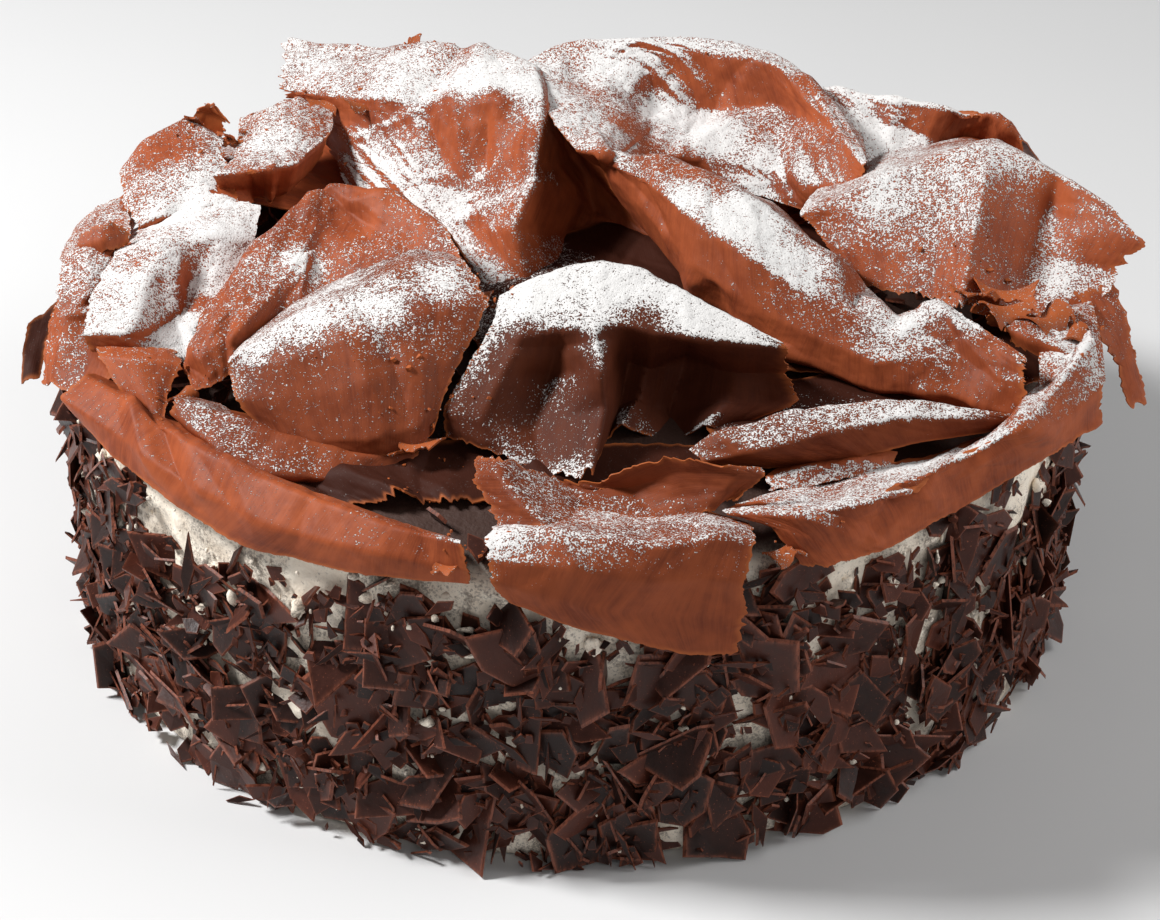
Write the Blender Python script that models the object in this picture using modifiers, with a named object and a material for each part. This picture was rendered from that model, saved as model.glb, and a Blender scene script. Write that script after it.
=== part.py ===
"""Black forest cake, whole and uncut: a round cake under cream, dark chocolate flakes pressed into
its side, and large thin chocolate ruffles folded over the top.

Frame: metres, +Z up, origin at the middle of the flat base. The front of the cake faces -Y.
"""
import math
import random

import bmesh
import bpy
import numpy as np
from mathutils import Matrix, Vector
from mathutils.bvhtree import BVHTree

MM = 0.001
SEED = 7

CAKE_RADIUS = 127.0
CAKE_RIM_HEIGHT = 80.0
CAKE_MIDDLE_HEIGHT = 88.0
CAKE_SEGMENTS = 60
# Corners of the top: share of the radius, and height above the rim.
TOP_SLOPE = ((0.0, CAKE_MIDDLE_HEIGHT - CAKE_RIM_HEIGHT), (0.5, 7.0), (0.8, 3.0))
# Corners of the rounded rim: inset from the side, and depth below the rim.
RIM_CURVE = ((5.0, 0.0), (1.0, 3.0), (0.0, 9.0))
FOOT_HEIGHT = 3.0
FOOT_INSET = 2.0

RUFFLE_THICKNESS = 1.2
RUFFLE_CELL = 15.0
FOLD_WINDOW = 0.26
WINDOW_STEPS = 9
WINDOW_FALLOFF = 0.99
GAP = 0.5
RIM_GAP = 0.8

SIDE_FLAKES = 174
SIDE_FLAKE_BAND = (4.0, 72.0)
SIDE_FLAKE_LENGTHS = (11.0, 20.0)
SIDE_FLAKE_TILTS = (8.0, 32.0)
SIDE_FLAKE_PROUD = 0.6
SIDE_FLAKE_ANGLE_SCATTER = 0.03
SIDE_FLAKE_HEIGHT_SCATTER = 2.0
TOP_FLAKES = 46
TOP_FLAKE_RADII = (6.0, 119.0)
TOP_FLAKE_LENGTHS = (14.0, 25.0)
TOP_FLAKE_TILTS = (20.0, 75.0)
TOP_FLAKE_RISE = 3.0
TOP_FALL = 6.0
FLAKE_CORNERS = (5, 6, 6, 7)
FLAKE_SLIMNESS = (0.45, 0.8)
FLAKE_CORNER_PULLS = (0.72, 1.12)
FLAKE_THICKNESS = 1.5
FLAKE_CLEARANCE = 1.0
GOLDEN_ANGLE = math.pi * (3.0 - math.sqrt(5.0))

BACK_RUFFLE_ANGLES = (42, 74, 106, 138)
BACK_RUFFLE_HALF_WIDTH = 19
BACK_RUFFLE_COLUMNS = 5
BACK_RUFFLE_TWIST = 2.0
BACK_RUFFLE_PLEAT = 1.0
# Rows of a back ruffle from the middle of the cake out: distance from the axis, and height.
BACK_RUFFLE_ROWS = ((62.0, 91.0), (88.0, 93.0), (110.0, 94.0), (126.0, 90.0), (133.0, 84.0), (136.0, 74.0))

# Each ruffle is a thin sheet laid over its creases, from the crease at the back of the cake to the
# one nearest the front. A crease runs through points (x, y, z) in millimetres, left to right.
# Ruffles earlier in the list lie on top: the later ones are cut back where they pass under them.
RUFFLES = {
    "ruffle_front_centre": (
        ((-17, -33, 92), (-8, -25, 96), (2, -23, 99), (12, -25, 100),
         (24, -29, 98), (36, -37, 94), (50, -46, 90)),
        ((-17, -55, 113), (-9, -54, 117), (0, -51, 119), (7, -51, 120),
         (16, -53, 119), (28, -61, 116), (50, -74, 110)),
        ((-19, -65, 110), (-12, -70, 111), (-3, -70, 112), (5, -70, 113),
         (13, -70, 113), (28, -73, 111), (51, -74, 109)),
        ((-24, -70, 104), (-16, -76, 103), (-5, -68, 99), (7, -81, 107),
         (13, -60, 98), (28, -61, 98), (52, -71, 101)),
        ((-30, -79, 96), (-21, -83, 95), (-9, -80, 91), (8, -84, 99),
         (11, -68, 90), (26, -66, 89), (54, -75, 95)),
        ((-30, -82, 90), (-18, -87, 88), (-6, -94, 86), (4, -102, 89),
         (8, -76, 86), (27, -75, 86), (40, -72, 88)),
    ),
    "ruffle_front_flap": (
        ((-16, -109, 85), (-3, -105, 86), (16, -110, 85), (29, -107, 86), (42, -112, 84)),
        ((-20, -127, 90), (-2, -127, 92), (20, -131, 91), (32, -128, 92), (41, -128, 90)),
        ((-19, -132, 88), (-3, -134, 88), (15, -134, 84), (28, -133, 84), (39, -132, 82)),
        ((-18, -134, 84), (-6, -136, 81), (9, -134, 76), (24, -132, 73), (40, -131, 72)),
        ((-15, -132, 78), (-2, -133, 72), (16, -132, 65), (27, -131, 62), (38, -131, 62)),
    ),
    "ruffle_long_roll": (
        ((10, 27, 112), (28, 29, 107), (46, 21, 104), (56, 6, 104),
         (68, -16, 102), (79, -40, 99), (90, -42, 104), (100, -59, 102)),
        ((7, 10, 120), (21, 2, 123), (34, -8, 123), (46, -19, 120),
         (57, -29, 116), (79, -50, 103), (88, -48, 109), (107, -73, 106)),
        ((6, 9, 119), (19, -8, 120), (31, -28, 119), (43, -40, 116),
         (54, -46, 111), (75, -57, 103), (90, -55, 107), (107, -75, 104)),
        ((8, 13, 113), (19, -9, 112), (30, -32, 109), (44, -46, 105),
         (57, -54, 102), (72, -62, 99), (91, -64, 101), (107, -77, 99)),
        ((11, 18, 105), (21, -6, 103), (30, -26, 100), (42, -42, 97),
         (55, -53, 95), (73, -64, 92), (90, -69, 94), (105, -79, 93)),
        ((18, 23, 96), (28, 0, 94), (35, -20, 91), (46, -38, 90),
         (59, -46, 89), (75, -58, 88), (90, -64, 89), (103, -74, 89)),
    ),
    "ruffle_right_tent": (
        ((74, 59, 98), (91, 67, 100), (111, 61, 103), (123, 44, 102), (134, 26, 100), (142, 5, 102)),
        ((57, -8, 111), (74, -4, 118), (92, 3, 123), (105, 4, 127), (123, -6, 121), (134, -18, 118)),
        ((60, -10, 109), (75, -12, 113), (92, -9, 118), (103, -10, 123), (119, -9, 113), (142, -30, 114)),
        ((64, -14, 105), (78, -20, 107), (91, -21, 111), (99, -25, 116), (114, -18, 105), (136, -28, 105)),
        ((69, -21, 98), (80, -28, 99), (89, -34, 100), (94, -43, 102), (109, -40, 95), (123, -45, 95)),
    ),
    "ruffle_left_centre": (
        ((-78, -41, 96), (-67, -30, 100), (-53, -21, 104), (-40, -18, 108), (-30, -26, 110)),
        ((-81, -70, 103), (-68, -62, 109), (-54, -56, 114), (-39, -47, 117), (-25, -47, 118)),
        ((-81, -71, 101), (-66, -73, 106), (-49, -70, 111), (-33, -64, 114), (-18, -59, 114)),
        ((-79, -77, 97), (-63, -79, 99), (-48, -80, 103), (-34, -75, 105), (-25, -70, 105)),
        ((-74, -80, 92), (-60, -85, 91), (-47, -88, 93), (-35, -85, 95), (-30, -79, 98)),
        ((-69, -83, 90), (-59, -86, 88), (-47, -88, 88), (-36, -88, 89), (-32, -85, 93)),
    ),
    "ruffle_back_centre": (
        ((-12, 92, 98), (-4, 97, 98), (13, 97, 100), (36, 97, 100),
         (53, 95, 98), (72, 86, 96), (83, 74, 94)),
        ((-15, 65, 121), (-3, 72, 124), (14, 71, 126), (32, 72, 126),
         (49, 67, 125), (60, 60, 120), (75, 53, 112)),
        ((-9, 45, 122), (2, 57, 118), (18, 66, 122), (37, 65, 123),
         (52, 57, 125), (64, 47, 122), (77, 31, 115)),
        ((-5, 22, 122), (8, 29, 120), (22, 55, 111), (40, 57, 110),
         (57, 51, 114), (69, 26, 119), (75, 9, 116)),
        ((1, 9, 121), (9, 4, 122), (19, 30, 111), (35, 33, 107),
         (52, 30, 106), (62, 17, 107), (75, 9, 112)),
        ((5, 16, 115), (10, 16, 112), (20, 30, 105), (36, 30, 101),
         (52, 23, 100), (63, 15, 100), (74, 16, 102)),
    ),
    "ruffle_front_roll": (
        ((32, -78, 84), (52, -74, 85), (74, -68, 86), (92, -70, 88), (104, -75, 90)),
        ((27, -88, 90), (37, -87, 95), (53, -84, 98), (72, -80, 99), (103, -81, 95)),
        ((30, -92, 89), (43, -95, 94), (59, -92, 97), (76, -86, 97), (104, -81, 94)),
        ((45, -89, 86), (57, -90, 87), (67, -89, 89), (79, -87, 91), (105, -79, 91)),
    ),
    "ruffle_back_left": (
        ((-78, 105, 98), (-53, 100, 102), (-33, 93, 104), (-20, 90, 104),
         (-8, 82, 104), (5, 72, 104), (18, 63, 102)),
        ((-83, 101, 113), (-52, 87, 118), (-32, 78, 121), (-18, 68, 123),
         (-10, 57, 123), (-3, 51, 116), (10, 33, 110)),
        ((-83, 72, 110), (-61, 58, 114), (-38, 45, 119), (-18, 34, 124),
         (-8, 34, 126), (-3, 32, 116), (14, 22, 105)),
        ((-78, 74, 104), (-61, 56, 107), (-41, 38, 111), (-22, 29, 113),
         (-8, 24, 121), (2, 38, 103), (18, 21, 97)),
        ((-71, 70, 98), (-60, 47, 101), (-43, 30, 103), (-26, 22, 102),
         (-9, 9, 114), (5, 32, 93), (22, 15, 91)),
        ((-64, 53, 96), (-55, 32, 98), (-40, 22, 97), (-26, 11, 97),
         (-15, -3, 105), (2, 24, 89), (23, 9, 88)),
        ((-59, 25, 92), (-47, 21, 91), (-33, 9, 89), (-22, -12, 92),
         (-11, -9, 92), (5, 2, 88), (28, -8, 87)),
    ),
    "ruffle_left_pocket": (
        ((-80, 16, 92), (-72, 22, 92), (-60, 28, 95), (-47, 23, 96), (-37, 17, 96), (-26, -2, 94)),
        ((-85, -13, 96), (-79, -16, 106), (-70, -8, 113), (-61, -1, 117), (-44, -9, 118), (-31, -24, 116)),
        ((-90, -32, 95), (-83, -34, 105), (-73, -20, 109), (-60, -9, 111), (-45, -17, 112),
         (-26, -38, 114)),
        ((-93, -47, 94), (-86, -48, 102), (-77, -36, 105), (-64, -22, 106), (-48, -28, 108),
         (-21, -45, 110)),
        ((-94, -53, 92), (-88, -54, 98), (-81, -52, 101), (-67, -36, 101), (-51, -38, 103),
         (-22, -46, 107)),
        ((-91, -59, 89), (-86, -60, 91), (-80, -57, 94), (-66, -40, 95), (-50, -41, 97), (-25, -47, 103)),
    ),
    "ruffle_back_right": (
        ((68, 86, 96), (85, 75, 98), (104, 73, 98), (118, 69, 96), (129, 54, 94)),
        ((67, 59, 116), (83, 48, 118), (101, 39, 119), (111, 34, 120), (118, 30, 114)),
        ((74, 44, 113), (84, 42, 112), (97, 38, 111), (110, 42, 108), (120, 34, 103)),
        ((76, 26, 108), (83, 28, 105), (96, 29, 103), (109, 32, 99), (120, 31, 95)),
    ),
    "ruffle_right_band": (
        ((47, -97, 84), (70, -87, 84), (87, -81, 85), (104, -73, 88), (117, -56, 95), (125, -34, 98)),
        ((33, -112, 88), (49, -118, 91), (67, -116, 93), (85, -103, 95), (105, -92, 99), (125, -56, 103)),
        ((44, -116, 88), (54, -120, 86), (69, -113, 86), (87, -100, 88), (109, -88, 93), (126, -68, 96)),
        ((52, -120, 78), (59, -119, 78), (71, -111, 77), (89, -97, 79), (111, -82, 84), (127, -67, 85)),
    ),
    "ruffle_front_edge": (
        ((52, -80, 84), (62, -78, 85), (74, -76, 86), (87, -74, 87)),
        ((44, -96, 87), (54, -95, 89), (64, -91, 89), (76, -85, 89)),
        ((45, -99, 85), (55, -98, 86), (65, -94, 86), (77, -88, 87)),
    ),
    "ruffle_ragged": (
        ((-21, -93, 93), (-24, -99, 90), (-21, -109, 88), (-15, -120, 87)),
        ((-16, -100, 97), (-16, -109, 96), (-11, -118, 94), (-4, -125, 91)),
        ((-5, -96, 88), (0, -100, 86), (4, -108, 85), (9, -119, 86)),
        ((7, -102, 92), (13, -100, 87), (17, -107, 85), (19, -117, 85)),
        ((21, -104, 100), (24, -104, 94), (26, -107, 89), (27, -112, 86)),
        ((33, -109, 99), (38, -109, 97), (35, -110, 92), (32, -112, 88)),
        ((43, -107, 97), (44, -109, 96), (41, -110, 93), (38, -110, 90)),
    ),
    "ruffle_left_fold": (
        ((-90, 66, 102), (-84, 62, 106), (-75, 69, 108), (-66, 73, 104)),
        ((-90, 57, 108), (-82, 54, 112), (-74, 62, 112), (-65, 59, 109)),
        ((-89, 29, 109), (-80, 34, 110), (-72, 36, 110), (-64, 50, 109)),
        ((-93, 15, 111), (-83, 15, 112), (-72, 21, 111), (-65, 44, 109)),
        ((-92, 17, 106), (-83, 22, 104), (-74, 26, 103), (-67, 45, 103)),
        ((-87, 12, 102), (-82, 26, 99), (-76, 28, 99), (-70, 44, 99)),
    ),
    "ruffle_left_plateau": (
        ((-115, 9, 98), (-103, 13, 103), (-90, 13, 105), (-80, 12, 104)),
        ((-116, -14, 103), (-102, -14, 107), (-90, -9, 106), (-80, -6, 103)),
        ((-119, -34, 101), (-106, -31, 102), (-96, -20, 98), (-86, -19, 97)),
        ((-119, -47, 98), (-107, -46, 98), (-98, -32, 93), (-89, -37, 94)),
        ((-117, -48, 94), (-108, -47, 92), (-94, -47, 90), (-89, -51, 88)),
    ),
    "ruffle_left_upper": (
        ((-119, 50, 96), (-113, 56, 100), (-104, 60, 104), (-95, 62, 103)),
        ((-120, 30, 104), (-114, 38, 110), (-103, 43, 114), (-92, 36, 111)),
        ((-117, 13, 104), (-109, 17, 107), (-99, 20, 108), (-88, 20, 106)),
        ((-112, 3, 102), (-104, 5, 105), (-94, 9, 105), (-85, 11, 103)),
        ((-111, 4, 98), (-103, 3, 100), (-93, 7, 101), (-85, 11, 99)),
    ),
    "ruffle_left_strip": (
        ((-91, -59, 88), (-82, -65, 88), (-67, -74, 87), (-50, -81, 86), (-36, -81, 86)),
        ((-95, -70, 94), (-82, -77, 94), (-66, -85, 92), (-49, -89, 89), (-35, -86, 88)),
        ((-95, -72, 91), (-82, -88, 90), (-69, -94, 87), (-54, -93, 85), (-39, -89, 85)),
        ((-91, -72, 86), (-78, -90, 84), (-71, -92, 83), (-59, -91, 83), (-44, -86, 83)),
    ),
    "ruffle_left_flap": (
        ((-116, -43, 96), (-105, -45, 94), (-96, -44, 92)),
        ((-116, -51, 95), (-105, -55, 96), (-93, -54, 93)),
        ((-109, -59, 90), (-102, -61, 91), (-96, -60, 90)),
        ((-103, -63, 85), (-100, -68, 86), (-97, -70, 85)),
    ),
    "ruffle_left_band": (
        ((-114, -40, 83), (-102, -56, 84), (-84, -76, 84), (-63, -94, 84),
         (-41, -109, 84), (-27, -117, 84)),
        ((-118, -52, 90), (-103, -70, 91), (-86, -89, 91), (-63, -107, 91),
         (-40, -121, 90), (-24, -128, 90)),
        ((-124, -56, 86), (-108, -74, 86), (-89, -95, 85), (-68, -112, 84),
         (-45, -124, 85), (-22, -130, 84)),
        ((-120, -58, 82), (-109, -75, 80), (-92, -92, 77), (-76, -106, 75),
         (-46, -123, 78), (-22, -129, 80)),
    ),
    "ruffle_far_left": (
        ((-129, 15, 97), (-124, 20, 100), (-116, 27, 101)),
        ((-130, -12, 100), (-122, -13, 104), (-112, 1, 103)),
        ((-128, -29, 98), (-120, -31, 100), (-114, -25, 99)),
        ((-130, -31, 94), (-124, -35, 96), (-110, -36, 92)),
        ((-131, -36, 88), (-126, -41, 90), (-111, -47, 88)),
        ((-132, -41, 81), (-128, -47, 83), (-115, -56, 84)),
    ),
    "ruffle_right_shoulder": (
        ((114, -41, 92), (118, -34, 95), (124, -27, 97), (129, -19, 97)),
        ((112, -56, 99), (117, -50, 101), (122, -42, 102), (128, -35, 102)),
        ((110, -70, 97), (116, -66, 99), (123, -58, 100), (128, -49, 99)),
        ((108, -77, 93), (116, -76, 94), (123, -69, 93), (128, -62, 93)),
    ),
    "ruffle_right_curl": (
        ((93, -27, 106), (97, -34, 104), (105, -38, 102), (113, -39, 100), (117, -44, 99)),
        ((94, -30, 103), (99, -34, 101), (106, -38, 99), (113, -41, 97), (117, -48, 96)),
        ((97, -30, 99), (103, -32, 97), (109, -35, 96), (113, -39, 95), (114, -50, 93)),
    ),
    "curl_right_inner": (
        ((99, -40, 98), (107, -44, 97), (115, -48, 97), (121, -52, 96)),
        ((100, -45, 104), (108, -49, 103), (116, -53, 102), (122, -57, 100)),
        ((104, -52, 103), (110, -56, 102), (117, -60, 101), (122, -63, 99)),
        ((107, -53, 98), (112, -57, 97), (118, -60, 97), (122, -62, 96)),
    ),
    "ruffle_right_hanging": (
        ((121, -34, 103), (128, -30, 104), (135, -26, 103)),
        ((127, -45, 98), (133, -41, 97), (138, -38, 95)),
        ((131, -48, 91), (136, -44, 90), (140, -40, 88)),
        ((134, -49, 84), (138, -45, 83), (142, -41, 81)),
        ((137, -49, 77), (140, -46, 76), (143, -43, 75)),
    ),
    "shaving_far_left": (
        ((-137, -24, 89), (-133, -20, 90), (-129, -16, 92)),
        ((-138, -31, 84), (-134, -29, 85), (-131, -27, 86)),
        ((-137, -39, 79), (-135, -38, 80), (-132, -37, 80)),
    ),
    "curl_upper_left": (
        ((-104, 52, 106), (-99, 50, 108), (-93, 47, 107)),
        ((-102, 50, 113), (-97, 48, 115), (-92, 45, 112)),
        ((-98, 46, 118), (-94, 43, 118), (-90, 41, 113)),
    ),
    "curl_torn_left": (
        ((-125, -6, 106), (-118, -7, 109), (-113, -5, 108)),
        ((-125, -10, 103), (-118, -12, 106), (-111, -6, 105)),
        ((-122, -11, 101), (-117, -14, 102), (-113, -8, 102)),
    ),
    "ruffle_middle_bed": (
        ((-34, 12, 91), (-10, 14, 92), (14, 30, 92), (44, 34, 92), (76, 22, 90)),
        ((-30, -16, 91), (-6, -8, 94), (18, 4, 91), (42, 2, 95), (74, -4, 91)),
        ((-26, -34, 91), (-4, -24, 91), (22, -18, 95), (46, -22, 91), (76, -30, 89)),
        ((-20, -52, 90), (0, -44, 93), (24, -48, 91), (50, -50, 90), (78, -52, 88)),
    ),
    "ruffle_front_bed": (
        ((-78, -80, 86), (-50, -82, 87), (-24, -78, 88), (6, -82, 88), (34, -80, 87)),
        ((-72, -90, 84), (-48, -94, 86), (-24, -90, 85), (4, -94, 86), (34, -90, 87)),
        ((-60, -100, 83), (-40, -103, 83), (-22, -104, 84), (6, -108, 83), (36, -104, 83)),
    ),
    "ruffle_right_bed": (
        ((28, -62, 89), (54, -54, 89), (80, -44, 91), (104, -26, 94), (122, -18, 92)),
        ((32, -76, 88), (56, -68, 91), (84, -60, 90), (106, -44, 94), (122, -36, 92)),
        ((40, -88, 86), (62, -84, 87), (86, -74, 87), (108, -62, 92), (120, -54, 92)),
    ),
}

CREAM = (0.80, 0.76, 0.68, 1.0)
RUFFLE_CHOCOLATE = (0.24, 0.085, 0.045, 1.0)


def new_material(name, colour, roughness):
    """A matt, non-metallic material."""
    material = bpy.data.materials.new(name)
    material.use_nodes = True
    shader = material.node_tree.nodes["Principled BSDF"]
    shader.inputs["Base Color"].default_value = colour
    shader.inputs["Roughness"].default_value = roughness
    shader.inputs["Metallic"].default_value = 0.0
    return material


def new_collection(name, parent):
    collection = bpy.data.collections.new(name)
    parent.children.link(collection)
    return collection


def as_guide(thing):
    """Mark an object as a cutter, which isn't a piece of the cake."""
    thing.hide_render = True
    thing.display_type = "WIRE"


def soften(points, places):
    """Points at the given places along a path through `points`, with its corners rounded.

    The path runs straight between the points, and each result is the average of the path over a
    short window round its place, weighted most in the middle. Past its ends the path runs on.
    """
    ahead = 2 * points[0] - points[1]
    behind = 2 * points[-1] - points[-2]
    path = np.concatenate(([ahead], points, [behind]))
    result = 0.0
    total = 0.0
    for shift in np.linspace(-1, 1, WINDOW_STEPS):
        weight = 1.0 - abs(shift) * WINDOW_FALLOFF
        place = places + shift * FOLD_WINDOW + 1.0
        before = np.clip(np.floor(place).astype(int), 0, len(points))
        share = (place - before).reshape((-1,) + (1,) * (points.ndim - 1))
        result = result + weight * (path[before] * (1 - share) + path[before + 1] * share)
        total += weight
    return result / total


def stations(gaps, cell):
    """Places along a run of creases: each crease, and each gap between two cut into even cells."""
    places = [float(len(gaps))]
    for index, gap in enumerate(gaps):
        steps = max(1, round(gap / cell))
        places += [index + step / steps for step in range(steps)]
    return np.array(sorted(places))


def ruffle_points(creases, cell):
    """The grid of surface points of one ruffle, in millimetres."""
    cage = np.array(creases, dtype=float)
    down = np.linalg.norm(np.diff(cage, axis=0), axis=2).mean(axis=1)
    across = np.linalg.norm(np.diff(cage, axis=1), axis=2).mean(axis=0)
    rows = soften(cage, stations(down, cell))
    return soften(rows.transpose(1, 0, 2), stations(across, cell)).transpose(1, 0, 2)


def widened(points, margin):
    """The same grid with its four edges moved outward by the margin."""
    grid = points.copy()
    for axis in (0, 1):
        for edge, inner in ((0, 1), (-1, -2)):
            outward = np.take(grid, edge, axis) - np.take(grid, inner, axis)
            outward /= np.linalg.norm(outward, axis=1, keepdims=True)
            if axis == 0:
                grid[edge] += outward * margin
            else:
                grid[:, edge] += outward * margin
    return grid


def sheet_mesh(name, points):
    """An open mesh over a grid of points, its squares split so that both faces match."""
    rows, columns = points.shape[:2]
    index = np.arange(rows * columns).reshape(rows, columns)
    corners = (index[:-1, :-1], index[:-1, 1:], index[1:, 1:], index[1:, :-1])
    squares = np.stack(corners, axis=-1).reshape(-1, 4)
    mesh = bpy.data.meshes.new(name)
    mesh.from_pydata((points.reshape(-1, 3) * MM).tolist(), [], squares.tolist())
    shape = bmesh.new()
    shape.from_mesh(mesh)
    bmesh.ops.triangulate(shape, faces=shape.faces[:])
    shape.to_mesh(mesh)
    shape.free()
    return mesh


def sheet(name, points, thickness, collection):
    """A thin closed sheet with the grid of points as its middle layer."""
    thing = bpy.data.objects.new(name, sheet_mesh(name, points))
    collection.objects.link(thing)
    solidify = thing.modifiers.new("thickness", "SOLIDIFY")
    solidify.thickness = thickness * MM
    solidify.offset = 0.0
    return thing


def evaluated_mesh(thing):
    """The object's mesh with its modifiers applied."""
    depsgraph = bpy.context.evaluated_depsgraph_get()
    return bpy.data.meshes.new_from_object(thing.evaluated_get(depsgraph))


def apply_modifiers(thing):
    mesh = evaluated_mesh(thing)
    thing.modifiers.clear()
    thing.data = mesh


def keep_largest_piece(mesh):
    """Drop every loose piece but the one with the most volume, hollows with it."""
    shape = bmesh.new()
    shape.from_mesh(mesh)
    shape.faces.ensure_lookup_table()
    unseen = set(shape.faces)
    pieces = []
    while unseen:
        piece = []
        front = [unseen.pop()]
        while front:
            face = front.pop()
            piece.append(face)
            for edge in face.edges:
                for neighbour in edge.link_faces:
                    if neighbour in unseen:
                        unseen.discard(neighbour)
                        front.append(neighbour)
        pieces.append(piece)
    largest = max(pieces, key=piece_volume)
    kept = set(largest)
    dropped = [face for face in shape.faces if face not in kept]
    bmesh.ops.delete(shape, geom=dropped, context="FACES")
    shape.to_mesh(mesh)
    shape.free()


def piece_volume(faces):
    """Volume of a closed piece, from the cones between its faces and the origin."""
    volume = 0.0
    for face in faces:
        corners = [corner.vert.co for corner in face.loops]
        for second, third in zip(corners[1:], corners[2:]):
            volume += corners[0].dot(second.cross(third)) / 6.0
    return volume


def combine(thing, collection, operation):
    """Cut the collection from the object, or join it to the object, and keep one body."""
    boolean = thing.modifiers.new(operation.lower(), "BOOLEAN")
    boolean.operation = operation
    boolean.operand_type = "COLLECTION"
    boolean.collection = collection
    boolean.solver = "MANIFOLD"
    apply_modifiers(thing)
    keep_largest_piece(thing.data)


def empty_collection(collection):
    for thing in list(collection.objects):
        bpy.data.objects.remove(thing)


def cake_body(name, growth, collection):
    """The cream-covered cake, turned from its profile, larger by the growth all round."""
    radius = CAKE_RADIUS + growth
    rim = CAKE_RIM_HEIGHT + growth
    profile = [(share * radius, rim + rise) for share, rise in TOP_SLOPE]
    profile += [(radius - inset, rim - depth) for inset, depth in RIM_CURVE]
    profile += [(radius, FOOT_HEIGHT), (radius - FOOT_INSET, 0.0), (0.0, 0.0)]
    mesh = bpy.data.meshes.new(name)
    corners = [(across * MM, 0.0, height * MM) for across, height in profile]
    mesh.from_pydata(corners, [(i, i + 1) for i in range(len(profile) - 1)], [])
    thing = bpy.data.objects.new(name, mesh)
    collection.objects.link(thing)
    screw = thing.modifiers.new("turn", "SCREW")
    screw.angle = math.tau
    screw.steps = CAKE_SEGMENTS
    screw.render_steps = CAKE_SEGMENTS
    screw.use_merge_vertices = True
    screw.merge_threshold = 0.0001
    apply_modifiers(thing)
    return thing


def back_ruffle_creases(angle, rng):
    """Creases of a pleated ruffle that hangs over the back edge of the cake at this angle."""
    twist = BACK_RUFFLE_TWIST
    turns = [rng.uniform(-twist, twist) for _ in range(BACK_RUFFLE_COLUMNS)]
    middle = (BACK_RUFFLE_COLUMNS - 1) / 2.0
    creases = []
    for row, (radius, height) in enumerate(BACK_RUFFLE_ROWS):
        outward = row / len(BACK_RUFFLE_ROWS)
        crease = []
        for column, turn in enumerate(turns):
            pleat = (1.0 if column % 2 else -1.0) * min(row, 2) * BACK_RUFFLE_PLEAT
            spread = BACK_RUFFLE_HALF_WIDTH * (1.0 - column / middle)
            at = math.radians(angle + spread + turn * outward)
            out = radius + pleat * outward
            crease.append((out * math.cos(at), out * math.sin(at), height + pleat))
        creases.append(tuple(crease))
    return tuple(creases)


def near(low, high, other_low, other_high):
    """Whether two boxes come within the gap of each other."""
    return bool(np.all(low - 2 * GAP < other_high) and np.all(other_low - 2 * GAP < high))


def build_ruffles(pieces, cutters, guide):
    """Every ruffle, each cut clear of the cake and of the ruffles that lie on it."""
    chocolate = new_material("ruffle_chocolate", RUFFLE_CHOCOLATE, 0.45)
    rng = random.Random(SEED)
    sheets = dict(RUFFLES)
    for number, angle in enumerate(BACK_RUFFLE_ANGLES, start=1):
        sheets[f"ruffle_back_edge_{number}"] = back_ruffle_creases(angle, rng)
    above = []
    for name, creases in sheets.items():
        points = ruffle_points(creases, RUFFLE_CELL)
        low = points.min(axis=(0, 1))
        high = points.max(axis=(0, 1))
        ruffle = sheet(name, points, RUFFLE_THICKNESS, pieces)
        apply_modifiers(ruffle)
        cutters.objects.link(guide)
        for other_low, other_high, other in above:
            if near(low, high, other_low, other_high):
                cutters.objects.link(other)
        combine(ruffle, cutters, "DIFFERENCE")
        for thing in list(cutters.objects):
            cutters.objects.unlink(thing)
        ruffle.data.materials.clear()
        ruffle.data.materials.append(chocolate)
        wide = widened(points, RIM_GAP)
        cutter = sheet(name + "_cutter", wide, RUFFLE_THICKNESS + 2 * GAP, cutters)
        as_guide(cutter)
        cutters.objects.unlink(cutter)
        above.append((low, high, cutter))
    return above


def flake_shape(rng, outward, lengths, tilts):
    """One flat broken flake, lying across `outward` with a tilt: a thin prism with uneven corners."""
    length = rng.uniform(*lengths)
    width = length * rng.uniform(*FLAKE_SLIMNESS)
    tilt = rng.choice((-1, 1)) * math.radians(rng.uniform(*tilts))
    corners = rng.choice(FLAKE_CORNERS)
    shape = bmesh.new()
    bmesh.ops.create_cone(
        shape, cap_ends=True, segments=corners, radius1=0.5, radius2=0.5, depth=1.0)
    pulls = [rng.uniform(*FLAKE_CORNER_PULLS) for _ in range(corners)]
    for corner in shape.verts:
        number = round(math.atan2(corner.co.y, corner.co.x) / math.tau * corners) % corners
        corner.co.x *= pulls[number] * length
        corner.co.y *= pulls[number] * width
        corner.co.z *= FLAKE_THICKNESS
    facing = outward.to_track_quat("Z", "Y").to_matrix()
    turn = Matrix.Rotation(rng.uniform(0.0, math.pi), 3, "Z") @ Matrix.Rotation(tilt, 3, "Y")
    bmesh.ops.transform(shape, matrix=(facing @ turn).to_4x4(), verts=shape.verts)
    return shape


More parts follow.
